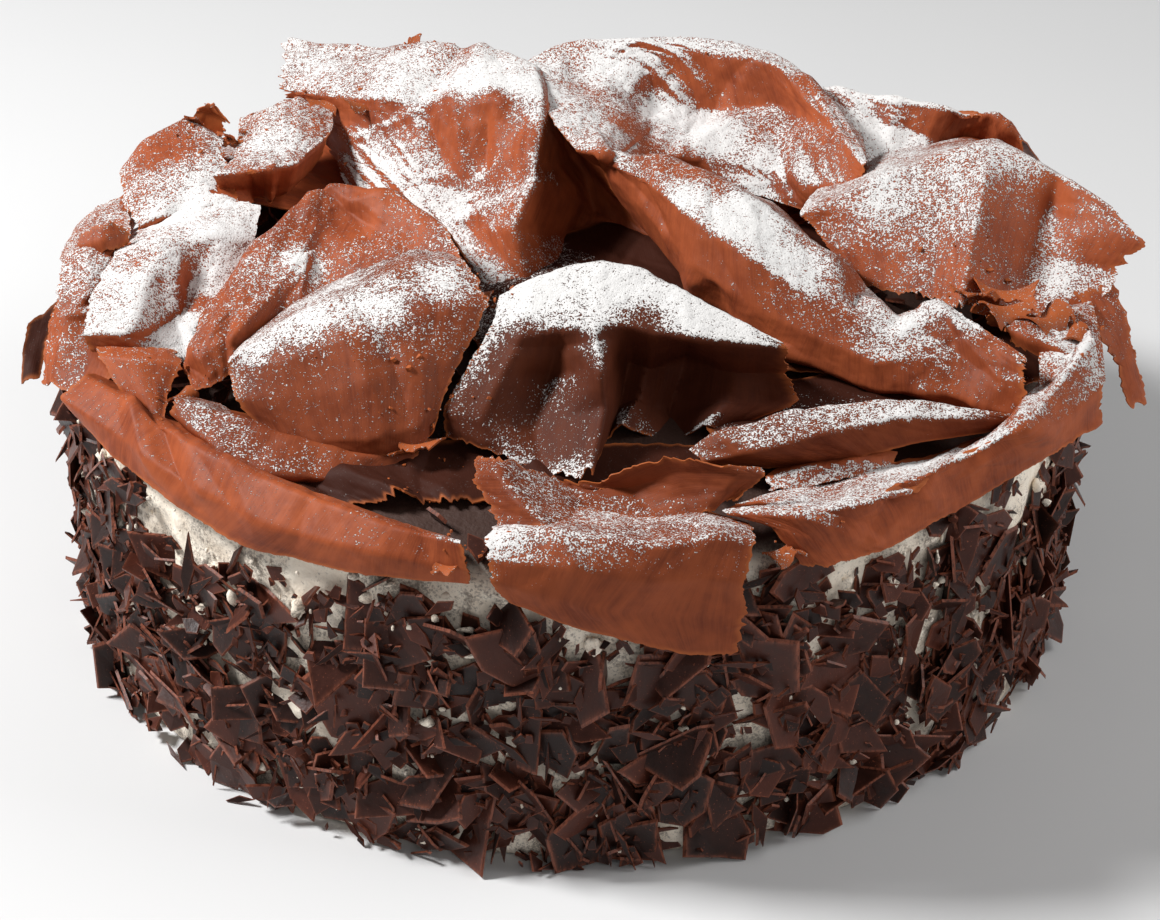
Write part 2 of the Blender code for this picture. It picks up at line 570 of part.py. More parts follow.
def side_flakes(rng):
    """Flakes spread evenly round the side, a golden-angle turn apart, with some scatter."""
    low, high = SIDE_FLAKE_BAND
    for number in range(SIDE_FLAKES):
        aside = rng.uniform(-SIDE_FLAKE_ANGLE_SCATTER, SIDE_FLAKE_ANGLE_SCATTER)
        above = rng.uniform(-SIDE_FLAKE_HEIGHT_SCATTER, SIDE_FLAKE_HEIGHT_SCATTER)
        angle = number * GOLDEN_ANGLE + aside
        height = low + (high - low) * (number + 0.5) / SIDE_FLAKES + above
        outward = Vector((math.cos(angle), math.sin(angle), 0.0))
        shape = flake_shape(rng, outward, SIDE_FLAKE_LENGTHS, SIDE_FLAKE_TILTS)
        place = outward * (CAKE_RADIUS + SIDE_FLAKE_PROUD) + Vector((0, 0, height))
        place.z -= min(0.0, place.z - GAP + min(corner.co.z for corner in shape.verts))
        yield shape, place


def top_flakes(rng):
    """Flakes that stand in the cream on top, in a sunflower pattern."""
    inner, outer = TOP_FLAKE_RADII
    for number in range(TOP_FLAKES):
        share = (number + 0.5) / TOP_FLAKES
        radius = math.sqrt(inner ** 2 + (outer ** 2 - inner ** 2) * share)
        angle = number * GOLDEN_ANGLE
        height = CAKE_MIDDLE_HEIGHT - TOP_FALL * (radius / CAKE_RADIUS) ** 3
        height += rng.uniform(0.0, TOP_FLAKE_RISE)
        shape = flake_shape(rng, Vector((0, 0, 1)), TOP_FLAKE_LENGTHS, TOP_FLAKE_TILTS)
        yield shape, Vector((radius * math.cos(angle), radius * math.sin(angle), height))


def press_in_flakes(body, ruffles, guides):
    """Join flakes to the cake wherever they stay clear of the ruffles."""
    rng = random.Random(SEED + 1)
    occupied = BVHTree.FromPolygons(*ruffle_surfaces(ruffles))
    for shape, place in list(side_flakes(rng)) + list(top_flakes(rng)):
        size = max(corner.co.length for corner in shape.verts)
        room = (1.0 + FLAKE_CLEARANCE / size) * MM
        envelope = shape.copy()
        thicken = Matrix.Translation(place * MM) @ Matrix.Scale(room, 4)
        bmesh.ops.transform(envelope, matrix=thicken, verts=envelope.verts)
        if not BVHTree.FromBMesh(envelope).overlap(occupied):
            settle = Matrix.Translation(place * MM) @ Matrix.Scale(MM, 4)
            bmesh.ops.transform(shape, matrix=settle, verts=shape.verts)
            mesh = bpy.data.meshes.new("flake")
            shape.to_mesh(mesh)
            thing = bpy.data.objects.new("flake", mesh)
            guides.objects.link(thing)
            as_guide(thing)
        envelope.free()
        shape.free()
    combine(body, guides, "UNION")
    empty_collection(guides)


def ruffle_surfaces(ruffles):
    """All corners and faces of the ruffles, as one list of each."""
    corners = []
    faces = []
    for ruffle in ruffles:
        start = len(corners)
        corners += [corner.co.copy() for corner in ruffle.data.vertices]
        faces += [[start + index for index in face.vertices] for face in ruffle.data.polygons]
    return corners, faces


def main():
    for thing in list(bpy.data.objects):
        bpy.data.objects.remove(thing)
    root = bpy.context.scene.collection
    pieces = new_collection("black_forest_cake", root)
    cutters = new_collection("cutters", root)
    guide = cake_body("cake_cutter", GAP, cutters)
    as_guide(guide)
    cutters.objects.unlink(guide)
    above = build_ruffles(pieces, cutters, guide)
    for _, _, cutter in above:
        bpy.data.objects.remove(cutter)
    bpy.data.objects.remove(guide)
    ruffles = list(pieces.objects)
    body = cake_body("cake_body", 0.0, pieces)
    press_in_flakes(body, ruffles, cutters)
    body.data.materials.clear()
    body.data.materials.append(new_material("cream_and_flakes", CREAM, 0.6))


main()
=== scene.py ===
"""Black forest cake: the looks of its chocolate ruffles, dark flakes, cream and icing sugar.

Lengths in the tables are millimetres; meshes are in metres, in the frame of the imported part.
"""
import functools
import math

import bpy
import numpy as np
from bpy.props import FloatProperty, FloatVectorProperty, IntProperty, PointerProperty
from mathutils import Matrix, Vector


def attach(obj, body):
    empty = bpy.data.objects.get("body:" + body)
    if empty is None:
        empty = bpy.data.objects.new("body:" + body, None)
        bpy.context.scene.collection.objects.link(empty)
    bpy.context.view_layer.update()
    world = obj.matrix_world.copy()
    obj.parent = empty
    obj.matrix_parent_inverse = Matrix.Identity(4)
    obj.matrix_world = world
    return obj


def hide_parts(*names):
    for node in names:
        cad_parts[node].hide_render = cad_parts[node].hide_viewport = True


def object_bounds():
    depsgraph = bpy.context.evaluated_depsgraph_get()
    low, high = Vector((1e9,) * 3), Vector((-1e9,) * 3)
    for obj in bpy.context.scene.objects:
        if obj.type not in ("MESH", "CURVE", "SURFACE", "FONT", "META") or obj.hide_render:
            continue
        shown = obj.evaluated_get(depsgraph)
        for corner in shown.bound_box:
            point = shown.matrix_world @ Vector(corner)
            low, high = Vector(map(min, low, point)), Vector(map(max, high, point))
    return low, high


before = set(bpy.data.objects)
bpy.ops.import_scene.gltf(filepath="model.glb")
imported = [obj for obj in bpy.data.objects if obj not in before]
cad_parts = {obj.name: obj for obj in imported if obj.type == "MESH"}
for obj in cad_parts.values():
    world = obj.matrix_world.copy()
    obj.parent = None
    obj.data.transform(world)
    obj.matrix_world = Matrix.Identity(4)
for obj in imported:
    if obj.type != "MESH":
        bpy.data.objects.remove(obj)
CAD_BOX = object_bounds()

bl_info = {
    "name": "Black Forest Cake",
    "version": (1, 0, 0),
    "blender": (4, 5, 0),
    "location": "View3D > Sidebar > Cake",
    "description": "Chocolate ruffles, dark flakes, cream and icing sugar of a black forest cake",
    "category": "Add Mesh",
}

MM = 0.001
BODY = "root"
# Added to a length before a division, so that it is never nothing.
TINY = 1e-9

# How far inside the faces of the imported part's box the points are eased in.
BOX_EASE = 3.0

CAKE_RADIUS = 127.0
CAKE_RIM_HEIGHT = 80.0
CAKE_MIDDLE_HEIGHT = 88.0
CAKE_BASE_HEIGHT = 0.3
# The cream coat, from the middle of the top round to the middle of the base: radius and height.
CAKE_PROFILE = np.array((
    (0.0, CAKE_MIDDLE_HEIGHT), (0.5 * CAKE_RADIUS, CAKE_MIDDLE_HEIGHT - 1.0),
    (0.8 * CAKE_RADIUS, CAKE_RIM_HEIGHT + 3.0), (CAKE_RADIUS - 5.0, CAKE_RIM_HEIGHT),
    (CAKE_RADIUS - 1.0, CAKE_RIM_HEIGHT - 3.0), (CAKE_RADIUS, CAKE_RIM_HEIGHT - 9.0),
    (CAKE_RADIUS, 3.0), (CAKE_RADIUS - 2.0, CAKE_BASE_HEIGHT), (0.0, CAKE_BASE_HEIGHT)))
RIM_POINT = 3
BASE_POINT = 7
CAKE_COLUMNS = 420

# Where the cream under the rim is barest: the middle of the band and half its width, in degrees.
BARE_BANDS = ((-30, 18), (-138, 19))
# Between these heights the cream under the rim turns bare.
BARE_HEIGHTS = (62.0, 80.0)
# The heights on the side between which flakes and dabs lie, and the height that no flake passes.
FLAKE_HEIGHTS = (0.5, 77.0)
DAB_HEIGHTS = (4.0, 76.0)
FLAKE_FLOOR = 0.2
# The outline of a flake: how far each corner is pulled in or out and how far it is shifted along
# the ring, how far the flake bends, the size of its upper face over that of its lower one, and its
# steepest tilt in radians.
FLAKE_PULL = (0.55, 1.25)
FLAKE_SHIFT = (-0.38, 0.38)
FLAKE_BEND = (-0.10, 0.10)
FLAKE_BEVEL = 0.94
STEEPEST_TILT = 1.4
SHARD_RADIUS = 121.0
SHARD_CORNERS = 6

# How far a fold down a ruffle is rounded, in creases, and in how many steps. The last step on each
# side has nearly no weight.
FOLD_WINDOW = 0.15
WINDOW_STEPS = 9
WINDOW_FALL = 0.99

# The small folds of a ruffle: the area for each, their half length and half width in millimetres,
# their height over their half width, how far they stray from straight down the ruffle in radians,
# and how strongly they curve.
FOLD_AREA = 420.0
FOLD_REACH = (10.0, 34.0)
FOLD_HALF_WIDTH = (2.0, 10.0)
FOLD_RISE = (0.08, 0.24)
FOLD_STRAY = 0.55
FOLD_CURVE = 0.012
# How high the sugar heaps up, in millimetres.
SUGAR_HEAP = 0.45

# The hidden ruffles over the back edge: their angles, and the radius and height of each crease.
BACK_RUFFLE_ANGLES = (42, 74, 106, 138)
BACK_RUFFLE_HALF_WIDTH = 19
BACK_RUFFLE_ROWS = ((62, 91), (88, 93), (110, 94), (126, 90), (133, 84), (136, 74))

# A flat map of the highest ruffle, and a block of cells that hold a ruffle.
HEIGHT_MAP_REACH = 150.0
HEIGHT_MAP_CELL = 1.2
OCCUPIED_CELL = 2.0
OCCUPIED_LOW = np.array((-150.0, -150.0, 40.0))
OCCUPIED_SHAPE = (150, 150, 50)

# Torn curls and crumbs, in millimetres, and the angles above which edges are sharp.
RUFFLE_SHARP_ANGLE = math.radians(55)
CURL_SHARP_ANGLE = math.radians(50)
CURL_CELL = 0.6
CURL_TEAR = 2.4
CRUMB_SPREAD = 7.0
CRUMB_CORNERS = 5
CRUMB_LIFT = 0.3

FLOOR_REACH = 6.0
WORLD_STRENGTH = 0.12
# Each soft light: where it stands and its size, in metres, and its power in watts.
LIGHTS = (
    ("key", (-0.86, 0.02, 0.90), 0.24, 21.0),
    ("fill", (0.90, -0.10, 0.65), 0.6, 5.6),
    ("front", (0.3, -1.0, 0.55), 0.8, 1.5),
)
LIT_POINT = (0.0, 0.0, 0.08)

# Each ruffle is a thin sheet laid over its creases, from the crease at the back of the cake to the
# one nearest the front. A crease runs through points (x, y, z) in millimetres, left to right.
RUFFLES = {
    "ruffle_front_centre": (
        ((-17, -33, 92), (-8, -25, 96), (2, -23, 99), (12, -25, 100),
         (24, -29, 98), (36, -37, 94), (50, -46, 90)),
        ((-17, -55, 113), (-9, -54, 117), (0, -51, 119), (7, -51, 120),
         (16, -53, 119), (28, -61, 116), (50, -74, 110)),
        ((-19, -65, 110), (-12, -70, 111), (-3, -70, 112), (5, -70, 113),
         (13, -70, 113), (28, -73, 111), (51, -74, 109)),
        ((-24, -70, 104), (-16, -76, 103), (-5, -68, 99), (7, -81, 107),
         (13, -60, 98), (28, -61, 98), (52, -71, 101)),
        ((-30, -79, 96), (-21, -83, 95), (-9, -80, 91), (8, -84, 99),
         (11, -68, 90), (26, -66, 89), (54, -75, 95)),
        ((-30, -82, 90), (-18, -87, 88), (-6, -94, 86), (4, -102, 89),
         (8, -76, 86), (27, -75, 86), (40, -72, 88)),
    ),
    "ruffle_front_flap": (
        ((-16, -109, 85), (-3, -105, 86), (16, -110, 85), (29, -107, 86), (42, -112, 84)),
        ((-20, -127, 90), (-2, -127, 92), (20, -131, 91), (32, -128, 92), (41, -128, 90)),
        ((-19, -132, 88), (-3, -134, 88), (15, -134, 84), (28, -133, 84), (39, -132, 82)),
        ((-18, -134, 84), (-6, -136, 81), (9, -134, 76), (24, -132, 73), (40, -131, 72)),
        ((-15, -132, 78), (-2, -133, 72), (16, -132, 65), (27, -131, 62), (38, -131, 62)),
    ),
    "ruffle_long_roll": (
        ((10, 27, 112), (28, 29, 107), (46, 21, 104), (56, 6, 104),
         (68, -16, 102), (79, -40, 99), (90, -42, 104), (100, -59, 102)),
        ((7, 10, 120), (21, 2, 123), (34, -8, 123), (46, -19, 120),
         (57, -29, 116), (79, -50, 103), (88, -48, 109), (107, -73, 106)),
        ((6, 9, 119), (19, -8, 120), (31, -28, 119), (43, -40, 116),
         (54, -46, 111), (75, -57, 103), (90, -55, 107), (107, -75, 104)),
        ((8, 13, 113), (19, -9, 112), (30, -32, 109), (44, -46, 105),
         (57, -54, 102), (72, -62, 99), (91, -64, 101), (107, -77, 99)),
        ((11, 18, 105), (21, -6, 103), (30, -26, 100), (42, -42, 97),
         (55, -53, 95), (73, -64, 92), (90, -69, 94), (105, -79, 93)),
        ((18, 23, 96), (28, 0, 94), (35, -20, 91), (46, -38, 90),
         (59, -46, 89), (75, -58, 88), (90, -64, 89), (103, -74, 89)),
    ),
    "ruffle_right_tent": (
        ((74, 59, 98), (91, 67, 100), (111, 61, 103), (123, 44, 102), (134, 26, 100), (142, 5, 102)),
        ((57, -8, 111), (74, -4, 118), (92, 3, 123), (105, 4, 127), (123, -6, 121), (134, -18, 118)),
        ((60, -10, 109), (75, -12, 113), (92, -9, 118), (103, -10, 123), (119, -9, 113), (142, -30, 114)),
        ((64, -14, 105), (78, -20, 107), (91, -21, 111), (99, -25, 116), (114, -18, 105), (136, -28, 105)),
        ((69, -21, 98), (80, -28, 99), (89, -34, 100), (94, -43, 102), (109, -40, 95), (123, -45, 95)),
    ),
    "ruffle_left_centre": (
        ((-78, -41, 96), (-67, -30, 100), (-53, -21, 104), (-40, -18, 108), (-30, -26, 110)),
        ((-81, -70, 103), (-68, -62, 109), (-54, -56, 114), (-39, -47, 117), (-25, -47, 118)),
        ((-81, -71, 101), (-66, -73, 106), (-49, -70, 111), (-33, -64, 114), (-18, -59, 114)),
        ((-79, -77, 97), (-63, -79, 99), (-48, -80, 103), (-34, -75, 105), (-25, -70, 105)),
        ((-74, -80, 92), (-60, -85, 91), (-47, -88, 93), (-35, -85, 95), (-30, -79, 98)),
        ((-69, -83, 90), (-59, -86, 88), (-47, -88, 88), (-36, -88, 89), (-32, -85, 93)),
    ),
    "ruffle_back_centre": (
        ((-12, 92, 98), (-4, 97, 98), (13, 97, 100), (36, 97, 100),
         (53, 95, 98), (72, 86, 96), (83, 74, 94)),
        ((-15, 65, 121), (-3, 72, 124), (14, 71, 126), (32, 72, 126),
         (49, 67, 125), (60, 60, 120), (75, 53, 112)),
        ((-9, 45, 122), (2, 57, 118), (18, 66, 122), (37, 65, 123),
         (52, 57, 125), (64, 47, 122), (77, 31, 115)),
        ((-5, 22, 122), (8, 29, 120), (22, 55, 111), (40, 57, 110),
         (57, 51, 114), (69, 26, 119), (75, 9, 116)),
        ((1, 9, 121), (9, 4, 122), (19, 30, 111), (35, 33, 107),
         (52, 30, 106), (62, 17, 107), (75, 9, 112)),
        ((5, 16, 115), (10, 16, 112), (20, 30, 105), (36, 30, 101),
         (52, 23, 100), (63, 15, 100), (74, 16, 102)),
    ),
    "ruffle_front_roll": (
        ((32, -78, 84), (52, -74, 85), (74, -68, 86), (92, -70, 88), (104, -75, 90)),
        ((27, -88, 90), (37, -87, 95), (53, -84, 98), (72, -80, 99), (103, -81, 95)),
        ((30, -92, 89), (43, -95, 94), (59, -92, 97), (76, -86, 97), (104, -81, 94)),
        ((45, -89, 86), (57, -90, 87), (67, -89, 89), (79, -87, 91), (105, -79, 91)),
    ),
    "ruffle_back_left": (
        ((-78, 105, 98), (-53, 100, 102), (-33, 93, 104), (-20, 90, 104),
         (-8, 82, 104), (5, 72, 104), (18, 63, 102)),
        ((-83, 101, 113), (-52, 87, 118), (-32, 78, 121), (-18, 68, 123),
         (-10, 57, 123), (-3, 51, 116), (10, 33, 110)),
        ((-83, 72, 110), (-61, 58, 114), (-38, 45, 119), (-18, 34, 124),
         (-8, 34, 126), (-3, 32, 116), (14, 22, 105)),
        ((-78, 74, 104), (-61, 56, 107), (-41, 38, 111), (-22, 29, 113),
         (-8, 24, 121), (2, 38, 103), (18, 21, 97)),
        ((-71, 70, 98), (-60, 47, 101), (-43, 30, 103), (-26, 22, 102),
         (-9, 9, 114), (5, 32, 93), (22, 15, 91)),
        ((-64, 53, 96), (-55, 32, 98), (-40, 22, 97), (-26, 11, 97),
         (-15, -3, 105), (2, 24, 89), (23, 9, 88)),
        ((-59, 25, 92), (-47, 21, 91), (-33, 9, 89), (-22, -12, 92),
         (-11, -9, 92), (5, 2, 88), (28, -8, 87)),
    ),
    "ruffle_left_pocket": (
        ((-80, 16, 92), (-72, 22, 92), (-60, 28, 95), (-47, 23, 96), (-37, 17, 96), (-26, -2, 94)),
        ((-85, -13, 96), (-79, -16, 106), (-70, -8, 113), (-61, -1, 117), (-44, -9, 118), (-31, -24, 116)),
        ((-90, -32, 95), (-83, -34, 105), (-73, -20, 109), (-60, -9, 111), (-45, -17, 112),
         (-26, -38, 114)),
        ((-93, -47, 94), (-86, -48, 102), (-77, -36, 105), (-64, -22, 106), (-48, -28, 108),
         (-21, -45, 110)),
        ((-94, -53, 92), (-88, -54, 98), (-81, -52, 101), (-67, -36, 101), (-51, -38, 103),
         (-22, -46, 107)),
        ((-91, -59, 89), (-86, -60, 91), (-80, -57, 94), (-66, -40, 95), (-50, -41, 97), (-25, -47, 103)),
    ),
    "ruffle_back_right": (
        ((68, 86, 96), (85, 75, 98), (104, 73, 98), (118, 69, 96), (129, 54, 94)),
        ((67, 59, 116), (83, 48, 118), (101, 39, 119), (111, 34, 120), (118, 30, 114)),
        ((74, 44, 113), (84, 42, 112), (97, 38, 111), (110, 42, 108), (120, 34, 103)),
        ((76, 26, 108), (83, 28, 105), (96, 29, 103), (109, 32, 99), (120, 31, 95)),
    ),
    "ruffle_right_band": (
        ((47, -97, 84), (70, -87, 84), (87, -81, 85), (104, -73, 88), (117, -56, 95), (125, -34, 98)),
        ((33, -112, 88), (49, -118, 91), (67, -116, 93), (85, -103, 95), (105, -92, 99), (125, -56, 103)),
        ((44, -116, 88), (54, -120, 86), (69, -113, 86), (87, -100, 88), (109, -88, 93), (126, -68, 96)),
        ((52, -120, 78), (59, -119, 78), (71, -111, 77), (89, -97, 79), (111, -82, 84), (127, -67, 85)),
    ),
    "ruffle_front_edge": (
        ((52, -80, 84), (62, -78, 85), (74, -76, 86), (87, -74, 87)),
        ((44, -96, 87), (54, -95, 89), (64, -91, 89), (76, -85, 89)),
        ((45, -99, 85), (55, -98, 86), (65, -94, 86), (77, -88, 87)),
    ),
    "ruffle_ragged": (
        ((-21, -93, 93), (-24, -99, 90), (-21, -109, 88), (-15, -120, 87)),
        ((-16, -100, 97), (-16, -109, 96), (-11, -118, 94), (-4, -125, 91)),
        ((-5, -96, 88), (0, -100, 86), (4, -108, 85), (9, -119, 86)),
        ((7, -102, 92), (13, -100, 87), (17, -107, 85), (19, -117, 85)),
        ((21, -104, 100), (24, -104, 94), (26, -107, 89), (27, -112, 86)),
        ((33, -109, 99), (38, -109, 97), (35, -110, 92), (32, -112, 88)),
        ((43, -107, 97), (44, -109, 96), (41, -110, 93), (38, -110, 90)),
    ),
    "ruffle_left_fold": (
        ((-90, 66, 102), (-84, 62, 106), (-75, 69, 108), (-66, 73, 104)),
        ((-90, 57, 108), (-82, 54, 112), (-74, 62, 112), (-65, 59, 109)),
        ((-89, 29, 109), (-80, 34, 110), (-72, 36, 110), (-64, 50, 109)),
        ((-93, 15, 111), (-83, 15, 112), (-72, 21, 111), (-65, 44, 109)),
        ((-92, 17, 106), (-83, 22, 104), (-74, 26, 103), (-67, 45, 103)),
        ((-87, 12, 102), (-82, 26, 99), (-76, 28, 99), (-70, 44, 99)),
    ),
    "ruffle_left_plateau": (
        ((-115, 9, 98), (-103, 13, 103), (-90, 13, 105), (-80, 12, 104)),
        ((-116, -14, 103), (-102, -14, 107), (-90, -9, 106), (-80, -6, 103)),
        ((-119, -34, 101), (-106, -31, 102), (-96, -20, 98), (-86, -19, 97)),
        ((-119, -47, 98), (-107, -46, 98), (-98, -32, 93), (-89, -37, 94)),
        ((-117, -48, 94), (-108, -47, 92), (-94, -47, 90), (-89, -51, 88)),
    ),
    "ruffle_left_upper": (
        ((-119, 50, 96), (-113, 56, 100), (-104, 60, 104), (-95, 62, 103)),
        ((-120, 30, 104), (-114, 38, 110), (-103, 43, 114), (-92, 36, 111)),
        ((-117, 13, 104), (-109, 17, 107), (-99, 20, 108), (-88, 20, 106)),
        ((-112, 3, 102), (-104, 5, 105), (-94, 9, 105), (-85, 11, 103)),
        ((-111, 4, 98), (-103, 3, 100), (-93, 7, 101), (-85, 11, 99)),
    ),
    "ruffle_left_strip": (
        ((-91, -59, 88), (-82, -65, 88), (-67, -74, 87), (-50, -81, 86), (-36, -81, 86)),
        ((-95, -70, 94), (-82, -77, 94), (-66, -85, 92), (-49, -89, 89), (-35, -86, 88)),
        ((-95, -72, 91), (-82, -88, 90), (-69, -94, 87), (-54, -93, 85), (-39, -89, 85)),
        ((-91, -72, 86), (-78, -90, 84), (-71, -92, 83), (-59, -91, 83), (-44, -86, 83)),
    ),
    "ruffle_left_flap": (
        ((-116, -43, 96), (-105, -45, 94), (-96, -44, 92)),
        ((-116, -51, 95), (-105, -55, 96), (-93, -54, 93)),
        ((-109, -59, 90), (-102, -61, 91), (-96, -60, 90)),
        ((-103, -63, 85), (-100, -68, 86), (-97, -70, 85)),
    ),
    "ruffle_left_band": (
        ((-114, -40, 83), (-102, -56, 84), (-84, -76, 84), (-63, -94, 84),
         (-41, -109, 84), (-27, -117, 84)),
        ((-118, -52, 90), (-103, -70, 91), (-86, -89, 91), (-63, -107, 91),
         (-40, -121, 90), (-24, -128, 90)),
        ((-124, -56, 86), (-108, -74, 86), (-89, -95, 85), (-68, -112, 84),
         (-45, -124, 85), (-22, -130, 84)),
        ((-120, -58, 82), (-109, -75, 80), (-92, -92, 77), (-76, -106, 75),
         (-46, -123, 78), (-22, -129, 80)),
    ),
    "ruffle_far_left": (
        ((-129, 15, 97), (-124, 20, 100), (-116, 27, 101)),
        ((-130, -12, 100), (-122, -13, 104), (-112, 1, 103)),
        ((-128, -29, 98), (-120, -31, 100), (-114, -25, 99)),
        ((-130, -31, 94), (-124, -35, 96), (-110, -36, 92)),
        ((-131, -36, 88), (-126, -41, 90), (-111, -47, 88)),
        ((-132, -41, 81), (-128, -47, 83), (-115, -56, 84)),
    ),
    "ruffle_right_shoulder": (
        ((114, -41, 92), (118, -34, 95), (124, -27, 97), (129, -19, 97)),
        ((112, -56, 99), (117, -50, 101), (122, -42, 102), (128, -35, 102)),
        ((110, -70, 97), (116, -66, 99), (123, -58, 100), (128, -49, 99)),
        ((108, -77, 93), (116, -76, 94), (123, -69, 93), (128, -62, 93)),
    ),
    "ruffle_right_curl": (
        ((93, -27, 106), (97, -34, 104), (105, -38, 102), (113, -39, 100), (117, -44, 99)),
        ((94, -30, 103), (99, -34, 101), (106, -38, 99), (113, -41, 97), (117, -48, 96)),
        ((97, -30, 99), (103, -32, 97), (109, -35, 96), (113, -39, 95), (114, -50, 93)),
    ),
    "curl_right_inner": (
        ((99, -40, 98), (107, -44, 97), (115, -48, 97), (121, -52, 96)),
        ((100, -45, 104), (108, -49, 103), (116, -53, 102), (122, -57, 100)),
        ((104, -52, 103), (110, -56, 102), (117, -60, 101), (122, -63, 99)),
        ((107, -53, 98), (112, -57, 97), (118, -60, 97), (122, -62, 96)),
    ),
    "ruffle_right_hanging": (
        ((121, -34, 103), (128, -30, 104), (135, -26, 103)),
        ((127, -45, 98), (133, -41, 97), (138, -38, 95)),
        ((131, -48, 91), (136, -44, 90), (140, -40, 88)),
        ((134, -49, 84), (138, -45, 83), (142, -41, 81)),
        ((137, -49, 77), (140, -46, 76), (143, -43, 75)),
    ),
    "shaving_far_left": (
        ((-137, -24, 89), (-133, -20, 90), (-129, -16, 92)),
        ((-138, -31, 84), (-134, -29, 85), (-131, -27, 86)),
        ((-137, -39, 79), (-135, -38, 80), (-132, -37, 80)),
    ),
    "curl_upper_left": (
        ((-104, 52, 106), (-99, 50, 108), (-93, 47, 107)),
        ((-102, 50, 113), (-97, 48, 115), (-92, 45, 112)),
        ((-98, 46, 118), (-94, 43, 118), (-90, 41, 113)),
    ),
    "curl_torn_left": (
        ((-125, -6, 106), (-118, -7, 109), (-113, -5, 108)),
        ((-125, -10, 103), (-118, -12, 106), (-111, -6, 105)),
        ((-122, -11, 101), (-117, -14, 102), (-113, -8, 102)),
    ),
    "ruffle_middle_bed": (
        ((-34, 12, 91), (-10, 14, 92), (14, 30, 92), (44, 34, 92), (76, 22, 90)),
        ((-30, -16, 91), (-6, -8, 94), (18, 4, 91), (42, 2, 95), (74, -4, 91)),
        ((-26, -34, 91), (-4, -24, 91), (22, -18, 95), (46, -22, 91), (76, -30, 89)),
        ((-20, -52, 90), (0, -44, 93), (24, -48, 91), (50, -50, 90), (78, -52, 88)),
    ),
    "ruffle_front_bed": (
        ((-78, -80, 86), (-50, -82, 87), (-24, -78, 88), (6, -82, 88), (34, -80, 87)),
        ((-72, -90, 84), (-48, -94, 86), (-24, -90, 85), (4, -94, 86), (34, -90, 87)),
        ((-60, -100, 83), (-40, -103, 83), (-22, -104, 84), (6, -108, 83), (36, -104, 83)),
    ),
    "ruffle_right_bed": (
        ((28, -62, 89), (54, -54, 89), (80, -44, 91), (104, -26, 94), (122, -18, 92)),
        ((32, -76, 88), (56, -68, 91), (84, -60, 90), (106, -44, 94), (122, -36, 92)),
        ((40, -88, 86), (62, -84, 87), (86, -74, 87), (108, -62, 92), (120, -54, 92)),
    ),
}

# What is particular to a ruffle, where it differs from the usual look. Dust is its share of icing
# sugar where it faces up. Painted shade is how far its chocolate is painted towards the shaded
# brown, as painted shadow for a ruffle that lies deep among the others, and 1 is the darkest.
# Crumple is how strongly the small folds show. Tear is how far its edges are torn, in millimetres:
# back, front, left and right. Corner is how far its corners are rounded along a crease.
USUAL_LOOK = {"dust": 0.45, "painted_shade": 0.0, "crumple": 1.0, "tear": (0.5, 0.5, 0.5, 0.5), "corner": 0.2}
LOOKS = {
    "ruffle_front_centre": {"dust": 0.75, "painted_shade": 0.8, "crumple": 0.5,
                            "tear": (0.4, 2.2, 0.8, 0.8), "corner": 0.12},
    "ruffle_front_flap": {"dust": 0.36, "painted_shade": 0.2, "crumple": 0.5, "tear": (0.5, 0.5, 0.8, 1.8)},
    "ruffle_long_roll": {"dust": 0.54, "painted_shade": 0.15, "tear": (0.5, 0.5, 0.5, 1.2), "corner": 0.12},
    "ruffle_right_tent": {"dust": 0.55, "crumple": 0.35, "tear": (0.5, 2.6, 0.5, 1.6), "corner": 0.06},
    "ruffle_left_centre": {"dust": 0.44, "painted_shade": 0.35, "crumple": 0.5, "tear": (0.4, 1.0, 0.4, 1.2)},
    "ruffle_back_centre": {"dust": 0.62},
    "ruffle_front_roll": {"painted_shade": 0.45},
    "ruffle_back_left": {"dust": 0.55, "tear": (0.8, 0.5, 5.0, 0.5)},
    "ruffle_left_pocket": {"dust": 0.22},
    "ruffle_back_right": {"dust": 0.6},
    "ruffle_right_band": {"dust": 0.55, "tear": (0.5, 1.2, 1.4, 1.0)},
    "ruffle_front_edge": {"dust": 0.5, "tear": (0.5, 1.2, 1.0, 1.2)},
    "ruffle_ragged": {"dust": 0.3, "painted_shade": 0.35, "tear": (2.6, 1.2, 3.0, 1.6)},
    "ruffle_left_plateau": {"dust": 0.72},
    "ruffle_left_upper": {"tear": (3.2, 0.6, 2.4, 0.8)},
    "ruffle_left_strip": {"dust": 0.32, "painted_shade": 0.3, "tear": (0.5, 1.8, 0.8, 1.2)},
    "ruffle_left_flap": {"dust": 0.12, "tear": (0.5, 1.4, 0.8, 1.0)},
    "ruffle_left_band": {"dust": 0.04, "crumple": 0.6},
    "ruffle_far_left": {"dust": 0.35, "tear": (1.0, 1.8, 2.2, 1.0)},
    "ruffle_right_curl": {"dust": 0.25, "painted_shade": 0.4, "tear": (0.8, 1.8, 1.0, 2.2)},
    "curl_right_inner": {"dust": 0.4, "tear": (0.6, 2.0, 1.2, 1.6)},
    "ruffle_right_hanging": {"dust": 0.2, "tear": (1.0, 2.4, 2.0, 2.0)},
    "shaving_far_left": {"dust": 0.0, "painted_shade": 1.0},
    "curl_upper_left": {"dust": 0.1, "tear": (0.8, 1.5, 1.5, 1.5)},
    "curl_torn_left": {"dust": 0.15, "tear": (1.4, 1.4, 1.4, 1.4)},
    "ruffle_middle_bed": {"dust": 0.3, "painted_shade": 1.0},
    "ruffle_front_bed": {"dust": 0.0, "painted_shade": 1.0, "crumple": 1.6, "tear": (0.5, 3.5, 0.5, 0.5)},
    "ruffle_right_bed": {"dust": 0.05, "painted_shade": 1.0},
}

